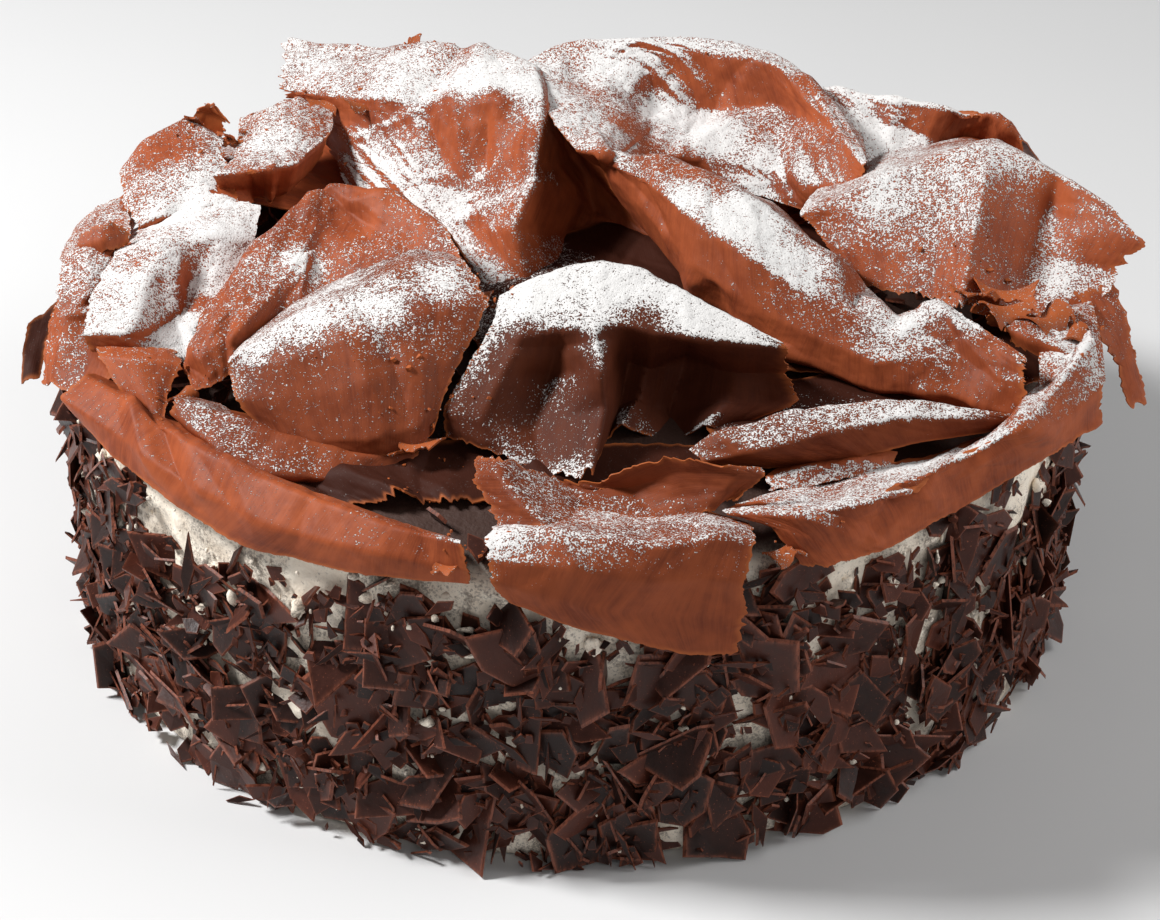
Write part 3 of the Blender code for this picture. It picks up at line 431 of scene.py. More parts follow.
# Where sugar has drifted (more) or slid off (less): x, y and radius in millimetres, and how much.
DRIFTS = (
    (-70, 80, 22, 0.08), (-47, 66, 20, 0.15), (-25, 50, 20, 0.25), (-8, 42, 12, 0.25),
    (-56, 44, 15, 0.5), (-46, 32, 15, 0.45), (-28, 20, 14, 0.35), (-34, 38, 11, -0.55),
    (-22, 33, 10, -0.7), (-14, 22, 9, -0.6), (-30, 28, 9, -0.3), (-2, 62, 18, 0.25), (14, 62, 16, 0.4),
    (28, 56, 14, 0.4), (38, 42, 12, 0.4), (48, 28, 13, 0.5), (58, 18, 12, 0.55), (15, 34, 10, -0.45),
    (64, 50, 12, -0.3), (28, -18, 13, 0.6), (42, -27, 13, 1), (52, -40, 13, 0.5), (62, -56, 12, -0.35),
    (80, -54, 10, 0.4), (93, -56, 8, 0.2), (98, -68, 12, -0.45), (46, -4, 8, -0.3), (86, -4, 14, 0.15),
    (74, -14, 12, 0.1), (110, -16, 12, -0.4), (120, -28, 11, 0.4), (84, 42, 14, 0.35),
    (104, 38, 12, 0.1), (56, -80, 12, 0.2), (-8, -56, 14, 0.5), (10, -58, 14, 0.45), (30, -64, 14, 0.5),
    (-16, -58, 8, -0.3), (44, -72, 12, 0.25), (-20, -80, 13, -0.9), (-12, -72, 10, -0.8),
    (-6, -84, 13, -0.9), (8, -88, 14, -0.9), (16, -70, 10, -0.5), (-76, -64, 11, 0.35),
    (-62, -62, 12, 0.5), (-46, -58, 12, 0.5), (-30, -54, 12, 0.4), (-66, -80, 13, -0.6),
    (-50, -82, 14, -0.7), (-36, -80, 13, -0.7), (-66, -26, 9, 0.7), (-76, -30, 12, 0.2),
    (-54, -10, 12, -0.4), (-103, 4, 11, 0.45), (-99, -38, 11, 0.45), (-108, -20, 8, -0.3),
    (-93, -27, 6, -0.8), (-90, -8, 10, 0.3), (-106, 34, 15, -0.45), (-96, 14, 12, 0.4),
    (-80, 36, 12, 0.35), (120, -56, 14, 0.35), (78, -88, 14, 0.25), (-22, -126, 14, 0.8),
    (24, -130, 18, -0.2), (-46, -120, 9, 0.15), (-88, -74, 10, 0.15), (-75, -82, 12, 0.15),
)

# Pleats pressed into a ruffle, each (start across, end across, start down, end down, height in
# millimetres, half width across), with places as shares of the sheet.
PLEATS = {
    "ruffle_back_left": (
        (0.30, 0.42, 0.30, 0.62, -1.6, 0.035),
        (0.38, 0.47, 0.30, 0.62, 1.4, 0.030),
        (0.46, 0.52, 0.32, 0.62, -1.4, 0.030),
    ),
    "ruffle_back_centre": ((0.35, 0.50, 0.20, 0.60, 1.5, 0.050),),
    "ruffle_long_roll": (
        (0.60, 0.62, 0.00, 0.34, 2.0, 0.035),
        (0.65, 0.66, 0.02, 0.36, -3.0, 0.028),
    ),
    "ruffle_right_tent": ((0.78, 0.86, 0.20, 0.90, -1.6, 0.050),),
    "ruffle_front_bed": (
        (0.15, 0.30, 0.05, 1.00, 4.0, 0.110),
        (0.42, 0.34, 0.05, 1.00, -2.5, 0.080),
        (0.60, 0.70, 0.05, 1.00, 4.0, 0.090),
    ),
    "ruffle_back_right": (
        (0.30, 0.25, 0.25, 0.90, 1.5, 0.080),
        (0.55, 0.50, 0.25, 0.90, -1.5, 0.080),
    ),
    "ruffle_front_centre": (
        (0.74, 0.70, 0.40, 1.00, 5.0, 0.050),
        (0.83, 0.80, 0.40, 1.00, -4.5, 0.060),
        (0.92, 0.90, 0.40, 1.00, 3.0, 0.050),
    ),
    "ruffle_left_centre": (
        (0.35, 0.60, 0.20, 0.80, 1.0, 0.050),
        (0.50, 0.70, 0.20, 0.80, -1.2, 0.050),
    ),
    "ruffle_left_pocket": ((0.55, 0.62, 0.55, 0.85, 3.0, 0.080),),
    "ruffle_left_plateau": ((0.45, 0.70, 0.30, 0.80, 1.5, 0.100),),
    "ruffle_left_fold": (
        (0.35, 0.30, 0.50, 1.00, -2.0, 0.080),
        (0.50, 0.45, 0.50, 1.00, 2.0, 0.070),
    ),
    "ruffle_left_band": (
        (0.12, 0.35, 0.10, 0.90, 1.6, 0.060),
        (0.20, 0.45, 0.10, 0.90, -1.6, 0.060),
        (0.40, 0.62, 0.10, 0.90, 1.0, 0.070),
    ),
    "ruffle_front_flap": ((0.20, 0.42, 0.20, 0.85, 1.6, 0.070),),
    "ruffle_right_band": ((0.50, 0.55, 0.20, 0.90, 1.5, 0.070),),
}

# Small torn curls: the middle of the foot (x, y, z), the way the curl leans as a compass angle in
# degrees, its lean from upright at the foot and how far it bends on, in degrees, and its width and
# length in millimetres.
TORN_CURLS = (
    (-100, 46, 107, -100, 5, 60, 5, 12), (-95, 43, 107, -60, 30, 100, 8, 10),
    (-90, 41, 107, -130, 10, 70, 4, 9), (-99, 38, 107, -30, 50, 80, 6, 7),
    (-55, 56, 113, -66, 70, 90, 16, 5), (-68, 62, 111, -80, 90, 80, 8, 7),
    (98, -37, 101, -110, 10, 90, 13, 11), (105, -42, 101, -75, 10, 150, 15, 13),
    (112, -46, 100, -50, 0, 200, 14, 14), (118, -52, 99, -20, 10, 150, 10, 9),
    (106, -36, 104, -95, 50, 70, 17, 8),
    (-34, -83, 90, -110, 60, 60, 10, 8), (-39, -85, 89, -150, 70, 50, 6, 6),
    (-95, -60, 88, -30, 20, 220, 7, 8), (-22, -46, 109, -90, 60, 80, 6, 5),
    (-18, -50, 108, -40, 70, 60, 5, 5), (46, -119, 82, -60, 60, 90, 7, 7),
    (51, -117, 82, -40, 70, 60, 6, 6), (-26, -126, 84, -120, 70, 60, 6, 7),
    (-44, 82, 117, 80, 20, 60, 4, 6), (-38, 84, 117, 120, 30, 60, 5, 4),
    (33, 74, 118, -90, 70, 60, 9, 5),
)


def lattice_value(cell, seed):
    """A fixed random number from -1 to 1 for each whole-number cell, from an integer hash."""
    factors = (73856093, 19349663, 83492791)
    mixed = np.full(cell.shape[:-1], seed * 2654435761 % 2 ** 32, dtype=np.uint64)
    for axis in range(cell.shape[-1]):
        step = (cell[..., axis].astype(np.int64) * factors[axis]) & 0xFFFFFFFF
        mixed = (mixed ^ step.astype(np.uint64)) * np.uint64(1274126177) & np.uint64(0xFFFFFFFF)
        mixed = mixed ^ (mixed >> np.uint64(15))
    return (mixed & np.uint64(0xFFFF)).astype(float) / 32767.5 - 1.0


def noise(points, spacing, seed):
    """Smooth random values from -1 to 1.

    Random numbers stand at the corners of a lattice with this spacing. Between them the value is
    their blend, weighted by 3t^2 - 2t^3 of the place t inside the cell, along each axis.
    """
    places = np.asarray(points, dtype=float) / spacing
    cell = np.floor(places).astype(np.int64)
    blend = places - cell
    blend = blend * blend * (3.0 - 2.0 * blend)
    total = 0.0
    for corner in np.ndindex(*(2,) * places.shape[-1]):
        corner = np.array(corner)
        weight = np.prod(np.where(corner == 1, blend, 1.0 - blend), axis=-1)
        total = total + weight * lattice_value(cell + corner, seed)
    return total


def ridges(points, spacing, seed):
    """Sharp ridges on a soft ground: 1 - 2|noise|, so it peaks where the noise crosses zero."""
    return 1.0 - 2.0 * np.abs(noise(points, spacing, seed))


# The relief of a ruffle, from layers of ridges or noise: its height, its squeeze across and down,
# how far apart its lumps are in millimetres, and its step from the ruffle's seed.
RELIEF = (
    (ridges, 0.45, (1.0, 0.42), 18.0, 40),
    (ridges, 0.12, (0.6, 1.0), 8.0, 41),
    (noise, 0.12, (1.0, 0.12), 2.0, 44),
)
RELIEF_TURN = np.array(((0.8, 0.6), (-0.6, 0.8)))
# The patches of sugar: how much they differ, how far apart they are, and the step from the seed.
SUGAR_PATCHES = ((0.20, 30.0, 50), (0.16, 11.0, 51), (0.12, 4.0, 52))


def smooth_step(values, low, high):
    """0 below low, 1 above high and 3t^2 - 2t^3 between them."""
    share = np.clip((values - low) / (high - low), 0.0, 1.0)
    return share * share * (3.0 - 2.0 * share)


def soften(points, places, window):
    """Points at the given places along a path through `points`, with its corners rounded.

    The path runs straight between the points, and each result is the average of the path over a
    short window round its place, weighted most in the middle. Past its ends the path runs on.
    """
    ahead = 2 * points[0] - points[1]
    behind = 2 * points[-1] - points[-2]
    path = np.concatenate(([ahead], points, [behind]))
    result = 0.0
    total = 0.0
    for shift in np.linspace(-1, 1, WINDOW_STEPS):
        weight = 1.0 - abs(shift) * WINDOW_FALL
        place = places + shift * window + 1.0
        before = np.clip(np.floor(place).astype(int), 0, len(points))
        share = (place - before).reshape((-1,) + (1,) * (points.ndim - 1))
        result = result + weight * (path[before] * (1 - share) + path[before + 1] * share)
        total += weight
    return result / total


def sampled(grid, down, across):
    """Values of a grid at places between its points, given as shares, blended in straight lines."""
    rows, columns = grid.shape[:2]
    row = np.clip(down, 0.0, 1.0) * (rows - 1)
    column = np.clip(across, 0.0, 1.0) * (columns - 1)
    top = np.minimum(row.astype(int), rows - 2)
    left = np.minimum(column.astype(int), columns - 2)
    below = (row - top)[..., None]
    right = (column - left)[..., None]
    upper = grid[top, left] * (1 - right) + grid[top, left + 1] * right
    lower = grid[top + 1, left] * (1 - right) + grid[top + 1, left + 1] * right
    return upper * (1 - below) + lower * below


def grid_normals(points):
    """Unit normals of a grid: the cross product of its steps across and down, turned upwards."""
    normals = np.cross(np.gradient(points, axis=1), np.gradient(points, axis=0))
    normals /= np.linalg.norm(normals, axis=2, keepdims=True) + TINY
    return normals if normals[..., 2].mean() >= 0 else -normals


def tear_line(length, count, amount, seed):
    """How far a torn edge is cut back at each place along it, in millimetres.

    Long shallow bites 11 mm apart, with small teeth about 3 mm and 1.3 mm apart on them.
    """
    along = np.linspace(0.0, length, count)[:, None]
    bites = 0.5 + 0.5 * noise(along, 11.0, seed)
    teeth = np.abs(noise(along, 3.1, seed + 1)) + 0.5 * np.abs(noise(along, 1.3, seed + 2))
    return amount * (0.6 * bites + 1.2 * teeth * (0.3 + 0.7 * bites)) + 0.35 * teeth


def pleat_heights(down, across, pleats):
    """Height of the pleats at each place: a straight-sided ridge along each pleat's line."""
    height = 0.0 * down
    for start, end, top, bottom, rise, half_width in pleats:
        along = np.clip((down - top) / (bottom - top), 0.0, 1.0)
        middle = start + (end - start) * along
        profile = np.clip(1.0 - np.abs(across - middle) / half_width, 0.0, 1.0) ** 1.3
        fade = along ** 0.6 if bottom > 0.95 else np.sin(np.pi * along) ** 0.7
        height = height + rise * profile * fade
    return height


def fold_heights(flat, length, width, seed):
    """Height of the small folds that cross a sheet at each of its flat places, in millimetres.

    Each fold is a sharp straight ridge or groove along its own line: its height falls in a
    straight line to nothing at its half width, and fades towards both of its ends.
    """
    rng = np.random.default_rng(seed)
    height = np.zeros(flat.shape[:2])
    for _ in range(int(length * width / FOLD_AREA)):
        middle = rng.uniform((0.0, 0.0), (width, length))
        angle = rng.normal(math.pi / 2, FOLD_STRAY)
        reach = rng.uniform(*FOLD_REACH)
        half_width = rng.uniform(*FOLD_HALF_WIDTH)
        rise = rng.uniform(*FOLD_RISE) * half_width * rng.choice((-1.0, 1.0))
        away = flat - middle
        along = away[..., 0] * math.cos(angle) + away[..., 1] * math.sin(angle)
        beside = away[..., 1] * math.cos(angle) - away[..., 0] * math.sin(angle)
        beside = beside + FOLD_CURVE * along ** 2 * rng.uniform(-1.0, 1.0)
        narrow = np.clip(1.0 - (along / reach) ** 2, 0.0, 1.0)
        profile = np.clip(1.0 - np.abs(beside) / (half_width * (0.25 + 0.75 * narrow)), 0.0, 1.0)
        height += rise * profile * narrow
    return height


def ruffle_look(name):
    """The look of one ruffle: the usual one, with what is particular to it."""
    return {**USUAL_LOOK, **LOOKS.get(name, {})}


def ruffle_sheet(name, creases, spacing, crumple, seed):
    """One ruffle as a fine grid: its points, normals and flat coordinates, in millimetres.

    The cage of creases is softened down and across. Its edges are then cut back along torn
    lines, and the sheet is pushed out along its normals by its pleats and small folds, by the
    layers of relief, turned askew on the sheet, and by fine noise 2.6 mm apart.
    """
    look = ruffle_look(name)
    crumple = crumple * look["crumple"]
    cage = np.array(creases, dtype=float)
    length = np.linalg.norm(np.diff(cage, axis=0), axis=2).sum(axis=0).max()
    width = np.linalg.norm(np.diff(cage, axis=1), axis=2).sum(axis=1).max()
    rows = max(12, int(length / spacing))
    columns = max(12, int(width / spacing))
    base = soften(cage, np.linspace(0, len(cage) - 1, rows), FOLD_WINDOW)
    along_creases = np.linspace(0, cage.shape[1] - 1, columns)
    base = soften(base.transpose(1, 0, 2), along_creases, look["corner"]).transpose(1, 0, 2)
    back, front, left, right = look["tear"]
    back = tear_line(width, columns, back, seed)[None, :] / length
    front = tear_line(width, columns, front, seed + 10)[None, :] / length
    left = tear_line(length, rows, left, seed + 20)[:, None] / width
    right = tear_line(length, rows, right, seed + 30)[:, None] / width
    down = np.linspace(0.0, 1.0, rows)[:, None]
    across = np.linspace(0.0, 1.0, columns)[None, :]
    down, across = back + (1 - back - front) * down, left + (1 - left - right) * across
    points = sampled(base, down, across)
    normals = grid_normals(points)
    flat = np.stack((across * width, down * length), axis=-1)
    height = pleat_heights(down, across, PLEATS.get(name, ()))
    height = height + crumple * fold_heights(flat, length, width, seed + 43)
    for shape, rise, squeeze, apart, step in RELIEF:
        height = height + crumple * rise * shape(flat @ RELIEF_TURN * squeeze, apart, seed + step)
    height = height + crumple * 0.06 * noise(flat, 2.6, seed + 42)
    points = points + normals * height[..., None]
    return {"points": points, "normals": grid_normals(points), "flat": flat, "seed": seed}


def back_ruffle_creases(angle, rng):
    """Creases of a pleated ruffle that hangs over the back edge of the cake at this angle."""
    turns = rng.uniform(-2.0, 2.0, 5)
    creases = []
    for row, (radius, height) in enumerate(BACK_RUFFLE_ROWS):
        crease = []
        for column, turn in enumerate(turns):
            pleat = (1.0 if column % 2 else -1.0) * min(row, 2)
            out = radius + pleat * row / len(BACK_RUFFLE_ROWS)
            turned = angle + BACK_RUFFLE_HALF_WIDTH * (1.0 - column / 2.0)
            at = math.radians(turned + turn * row / len(BACK_RUFFLE_ROWS))
            crease.append((out * math.cos(at), out * math.sin(at), height + pleat))
        creases.append(crease)
    return creases


@functools.cache
def all_sheets():
    """Every ruffle's fine grid by name."""
    look = bpy.context.scene.cake_ruffles
    rng = np.random.default_rng(look.seed)
    creases = dict(RUFFLES)
    for number, angle in enumerate(BACK_RUFFLE_ANGLES, start=1):
        creases[f"ruffle_back_edge_{number}"] = back_ruffle_creases(angle, rng)
    return {
        name: ruffle_sheet(name, rows, look.spacing, look.crumple, look.seed + 100 * number)
        for number, (name, rows) in enumerate(creases.items())
    }


def map_cell(points):
    """The cell of the height map under each point."""
    return ((points[..., :2] + HEIGHT_MAP_REACH) / HEIGHT_MAP_CELL).astype(int)


@functools.cache
def height_map():
    """The highest ruffle surface over each cell of a square grid, with one-cell holes filled."""
    count = int(2 * HEIGHT_MAP_REACH / HEIGHT_MAP_CELL)
    heights = np.zeros((count, count))
    for sheet in all_sheets().values():
        points = sheet["points"].reshape(-1, 3)
        cell = map_cell(points)
        np.maximum.at(heights, (cell[:, 0], cell[:, 1]), points[:, 2])
    filled = heights.copy()
    for axis in (0, 1):
        for shift in (-1, 1):
            filled = np.maximum(filled, np.where(heights == 0, np.roll(heights, shift, axis), 0))
    return filled


def open_to_sky(points, depth):
    """1 where nothing lies over a point, 0 where a sheet lies more than `depth` above it."""
    cell = np.clip(map_cell(points), 0, height_map().shape[0] - 1)
    above = height_map()[cell[..., 0], cell[..., 1]] - points[..., 2]
    return 1.0 - smooth_step(above, 0.5 * depth, depth)


def bulge(points, normals, reach):
    """How far each point of a grid stands proud of the points `reach` steps away, in millimetres."""
    rows, columns = points.shape[:2]
    row = np.arange(rows)
    column = np.arange(columns)
    up = points[np.clip(row - reach, 0, rows - 1)]
    down = points[np.clip(row + reach, 0, rows - 1)]
    left = points[:, np.clip(column - reach, 0, columns - 1)]
    right = points[:, np.clip(column + reach, 0, columns - 1)]
    return ((points - (up + down + left + right) / 4.0) * normals).sum(axis=2)


def drift(points):
    """How much more or less sugar than usual lies at each point, from the sum of the drifts.

    Each drift falls off from its middle as (1 - d^2)^2, where d is the distance over its radius.
    """
    total = 0.0
    for x, y, radius, amount in DRIFTS:
        distance = ((points[..., 0] - x) ** 2 + (points[..., 1] - y) ** 2) / radius ** 2
        total = total + amount * np.clip(1.0 - distance, 0.0, 1.0) ** 2
    return total


def sugar_cover(name, sheet):
    """Share of icing sugar at each point of a ruffle.

    Sugar lies where the sheet faces up and nothing is above it. It thins out on steep slopes
    and on sharp ridges. Patches and drifts vary it, and a light dust lies on every slope.
    """
    points = sheet["points"]
    seed = sheet["seed"]
    up = sheet["normals"][..., 2]
    dust = ruffle_look(name)["dust"]
    patches = sum(share * noise(points[..., :2], apart, seed + step)
                  for share, apart, step in SUGAR_PATCHES)
    patches = patches * smooth_step(dust, -0.1, 0.5)
    worn = smooth_step(bulge(points, sheet["normals"], 3), 0.25, 1.1)
    cover = smooth_step(up, 0.35, 0.95) * (dust + patches + drift(points)) - 0.2 * worn
    light_dust = 0.01 + 0.11 * smooth_step(up, 0.1, 0.7) * (0.2 + dust)
    cover = np.clip(0.92 * cover, 0.0, 0.92) + light_dust
    return cover * open_to_sky(points, 3.0)


def drawn_in(points):
    """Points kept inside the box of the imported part.

    The last 3 mm before the top and each side of the box hold everything up to it and past it:
    a distance d into them becomes 3 tanh(d / 3). The base stays as it is.
    """
    low, high = (np.array(corner) / MM for corner in CAD_BOX)
    past_high = np.maximum(0.0, points - (high - BOX_EASE))
    past_low = np.maximum(0.0, low + BOX_EASE - points)
    past_low[..., 2] = 0.0
    points = points - past_high + BOX_EASE * np.tanh(past_high / BOX_EASE)
    return points + past_low - BOX_EASE * np.tanh(past_low / BOX_EASE)


def new_piece(name, points, faces, smooth, body=BODY):
    """A mesh object at the origin from arrays of corners (millimetres) and faces."""
    faces = np.asarray(faces)
    points = drawn_in(np.asarray(points))
    mesh = bpy.data.meshes.new(name)
    mesh.vertices.add(len(points))
    mesh.vertices.foreach_set("co", (points * MM).astype(np.float32).ravel())
    mesh.loops.add(faces.size)
    mesh.loops.foreach_set("vertex_index", faces.astype(np.int32).ravel())
    mesh.polygons.add(len(faces))
    mesh.polygons.foreach_set("loop_start", np.arange(len(faces), dtype=np.int32) * faces.shape[1])
    mesh.update(calc_edges=True)
    if smooth:
        mesh.shade_smooth()
    else:
        mesh.shade_flat()
    thing = bpy.data.objects.new(name, mesh)
    bpy.context.scene.collection.objects.link(thing)
    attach(thing, body)
    return thing


def set_attribute(thing, name, values):
    """One number for each corner of a piece, which its material reads by name."""
    attribute = thing.data.attributes.new(name, "FLOAT", "POINT")
    attribute.data.foreach_set("value", np.asarray(values, dtype=np.float32).ravel())


def set_flat_map(thing, flat):
    """The piece's own UV map: its flat coordinates in metres."""
    layer = thing.data.uv_layers.new(name="flat")
    corners = np.empty(len(thing.data.loops), dtype=np.int32)
    thing.data.loops.foreach_get("vertex_index", corners)
    layer.data.foreach_set("uv", (flat[corners] * MM).astype(np.float32).ravel())


def closed_sheet(points, normals, thickness):
    """Both faces of a sheet and the rim between them, as corners and faces.

    Each face lies half the thickness from the grid, along its normals. The corners of the lower
    face follow those of the upper one.
    """
    rows, columns = points.shape[:2]
    half = normals * thickness[..., None] * 0.5
    upper = (points + half).reshape(-1, 3)
    lower = (points - half).reshape(-1, 3)
    index = np.arange(rows * columns).reshape(rows, columns)
    squares = np.stack((index[:-1, :-1], index[1:, :-1], index[1:, 1:], index[:-1, 1:]), axis=-1)
    squares = squares.reshape(-1, 4)
    border = np.concatenate((index[0, :-1], index[:-1, -1], index[-1, :0:-1], index[:0:-1, 0]))
    beyond = np.roll(border, -1)
    shift = rows * columns
    rim = np.stack((border, beyond, beyond + shift, border + shift), axis=-1)
    facing = np.cross(np.gradient(points, axis=0), np.gradient(points, axis=1))
    if (facing * normals).sum() < 0:
        squares = squares[:, ::-1]
        rim = rim[:, ::-1]
    faces = np.concatenate((squares, squares[:, ::-1] + shift, rim))
    return np.concatenate((upper, lower)), faces


def curl_grid(foot, compass, lean, bend, width, length, seed):
    """One small torn curl as a grid of points and normals.

    Along the strip, the angle from upright grows evenly from the lean to lean plus bend, so its
    middle line is an arc of a circle. The strip narrows by a third on its way, its end is torn,
    and it is cupped: each point is set back by 0.05 of its distance from the middle line squared.
    """
    rows = max(6, int(length / CURL_CELL))
    columns = max(5, int(width / CURL_CELL))
    tear = tear_line(width, columns, CURL_TEAR, seed)[None, :] / length
    down = np.linspace(0.0, 1.0, rows)[:, None] * (1.0 - np.minimum(tear, 0.7))
    across = np.linspace(-0.5, 0.5, columns)[None, :] * width * (1.0 - 0.33 * down)
    across = across + 0.5 * noise(np.stack((9.0 * down, 0.3 * across), axis=-1), 1.0, seed + 3)
    lean, bend, compass = np.radians((lean, bend, compass))
    angle = lean + bend * down
    ahead = np.array((math.cos(compass), math.sin(compass), 0.0))
    beside = np.array((-math.sin(compass), math.cos(compass), 0.0))
    out = length / bend * (math.cos(lean) - np.cos(angle))
    rise = length / bend * (np.sin(angle) - math.sin(lean))
    points = foot + out[..., None] * ahead + across[..., None] * beside
    points[..., 2] += rise
    normals = np.cos(angle)[..., None] * ahead
    normals[..., 2] -= np.sin(angle)
    points = points - normals * (0.05 * across ** 2)[..., None]
    return points, normals


def joined(parts):
    """Corners and faces of several closed parts as one."""
    corners = []
    faces = []
    start = 0
    for part_corners, part_faces in parts:
        corners.append(part_corners)
        faces.append(part_faces + start)
        start += len(part_corners)
    return np.concatenate(corners), np.concatenate(faces)


class Value:
    """A shader value. Python's operators on it add the Math nodes that work the result out."""

    def __init__(self, graph, socket):
        self.graph = graph
        self.socket = socket

    def math(self, operation, *others):
        return self.graph.node("ShaderNodeMath", {"operation": operation}, {
            number: other for number, other in enumerate((self, *others))})["Value"]

    def __add__(self, other):
        return self.math("ADD", other)

    def __radd__(self, other):
        return self.math("ADD", other)

    def __sub__(self, other):
        return self.math("SUBTRACT", other)

    def __rsub__(self, other):
        return self.graph.constant(other).math("SUBTRACT", self)

    def __mul__(self, other):
        return self.math("MULTIPLY", other)

    def __rmul__(self, other):
        return self.math("MULTIPLY", other)

    def __truediv__(self, other):
        return self.math("DIVIDE", other)

    def __pow__(self, other):
        return self.math("POWER", other)

    def step(self, low, high):
        """0 below low, 1 above high, and a smooth rise between them."""
        return self.graph.node("ShaderNodeMapRange", {"interpolation_type": "SMOOTHSTEP"}, {
            "Value": self, "From Min": low, "From Max": high})["Result"]

    def mix(self, first, second):
        """The first colour where this value is 0, and the second where it is 1."""
        return self.graph.node("ShaderNodeMix", {"data_type": "RGBA"}, {
            "Factor": self, "A": first, "B": second})["Result"]


class Graph:
    """The node tree of one material, with its Principled shader."""

    def __init__(self, name):
        self.material = bpy.data.materials.new(name)
        self.material.use_nodes = True
        self.tree = self.material.node_tree
        self.shader = self.tree.nodes["Principled BSDF"]

    def put(self, socket, value):
        """Link a value to a socket, or set the socket to a constant."""
        if isinstance(value, Value):
            self.tree.links.new(value.socket, socket)
        elif hasattr(value, "__len__") and len(value) == 3 and socket.type == "RGBA":
            socket.default_value = (*value, 1.0)
        else:
            socket.default_value = value

    def node(self, kind, settings, inputs):
        """A node of this kind: its settings come first, then the values or links of its sockets.

        The result gives its outputs by name.
        """
        node = self.tree.nodes.new(kind)
        for name, value in settings.items():
            setattr(node, name, value)
        for name, value in inputs.items():
            sockets = node.inputs
            if kind == "ShaderNodeMix" and name in ("A", "B"):
                socket = next(s for s in sockets if s.name == name and s.type == "RGBA")
            else:
                socket = sockets[name]
            self.put(socket, value)
        outputs = {}
        for socket in node.outputs:
            if socket.enabled:
                outputs.setdefault(socket.name, Value(self, socket))
        return outputs

    def constant(self, number):
        """A plain number as a shader value."""
        return self.node("ShaderNodeMath", {"operation": "ADD"}, {0: number, 1: 0.0})["Value"]

    def attribute(self, name):
        """The piece's own number of this name."""
        return self.node("ShaderNodeAttribute", {"attribute_name": name}, {})["Fac"]

    def place(self):
        """Place on the piece, in metres."""
        return self.node("ShaderNodeTexCoord", {}, {})["Object"]

    def flat(self):
        """Place on the flattened ruffle, in metres."""
        return self.node("ShaderNodeUVMap", {"uv_map": "flat"}, {})["UV"]

    def stretched(self, vector, scale):
        """A place squeezed by this scale, which draws noise out the other way."""
        return self.node("ShaderNodeMapping", {}, {"Vector": vector, "Scale": scale})["Vector"]

    def noise(self, vector, size, detail=2.0, rough=0.5):
        """Noise from 0 to 1 whose lumps are about `size` millimetres across."""
        return self.node("ShaderNodeTexNoise", {}, {
            "Vector": vector, "Scale": 1.0 / (size * MM), "Detail": detail, "Roughness": rough})["Fac"]

    def bump(self, height, distance, strength=1.0, under=None):
        """Bump that reads `height` from 0 to 1 as this many millimetres."""
        inputs = {"Height": height, "Distance": distance * MM, "Strength": strength}
        if under is not None:
            inputs["Normal"] = under
        return self.node("ShaderNodeBump", {}, inputs)["Normal"]

    def finish(self, colour, roughness, normal, specular=0.5):
        """The material, once its shader has these values."""
        for name, value in (("Base Color", colour), ("Roughness", roughness), ("Normal", normal),
                            ("Specular IOR Level", specular)):
            self.put(self.shader.inputs[name], value)
        return self.material


def ruffle_material(look):
    """Satin milk chocolate under a dusting of icing sugar.

    Brown varies in cloudy patches and in fine lines along the scraping direction. Ruffles that
    lie in shadow deep among the others are painted darker, as painted shade. Towards the rims
    and the lower face the brown turns lighter and more orange: partly the colour of thin
    chocolate, partly a painted glow of light through it. Sugar is the piece's cover against
    speckle noise 0.42 mm and 1.3 mm across.
    """
    graph = Graph("ruffle_chocolate")
    place = graph.place()
    flat = graph.flat()
    clouds = graph.noise(place, 22.0, 3.0)
    mottle = graph.noise(place, 5.0, 4.0, 0.6)
    lines = graph.noise(graph.stretched(flat, (1.0, 0.035, 1.0)), 0.55, 3.0, 0.6)
    coarse_lines = graph.noise(graph.stretched(flat, (1.0, 0.05, 1.0)), 2.6, 2.0)
    tone = (0.45 * clouds + 0.3 * mottle + 0.25 * coarse_lines).step(0.32, 0.68)
    brown = tone.mix(look.dark, look.light)
    brown = (lines.step(0.35, 0.75) * 0.45).mix(brown, look.light)
    # Painted shade: ruffles that lie in shadow deep among the others are painted towards the shaded brown.
    painted_shade = graph.attribute("painted_shade")
    brown = painted_shade.mix(brown, look.painted_shade)
    # Partly painted light: rims and lower faces are painted lighter and more orange, as a glow of light
    # through thin chocolate, on top of the lighter colour thin chocolate has.
    brown = graph.attribute("rim").mix(brown, look.thin_and_glow)
    brown = (graph.attribute("under") * 0.6).mix(brown, look.thin_and_glow)
    speckle = graph.noise(place, 0.42, 1.0, 0.6)
    grains = graph.noise(place, 1.3, 2.0, 0.6)
    cover = graph.attribute("sugar")
    amount = cover + (speckle - 0.5) * 2.1 + (grains - 0.5) * 1.2
    sugar = amount.step(0.42, 0.66) * cover.step(0.02, 0.10)
    haze = cover.step(0.2, 1.0) * 0.05 * (1.0 - painted_shade)
    colour = sugar.mix(haze.mix(brown, look.sugar), look.sugar)
    gloss = 0.44 + 0.16 * mottle + haze + 0.15 * painted_shade
    roughness = gloss + sugar * (0.95 - gloss)
    ground = graph.bump(lines, 0.08, 0.8)
    ground = graph.bump(mottle, 0.22, 0.6, ground)
    normal = graph.bump(sugar * (0.5 + grains + 0.6 * speckle), 0.30, 0.9, ground)
    return graph.finish(colour, roughness, normal, specular=0.13)


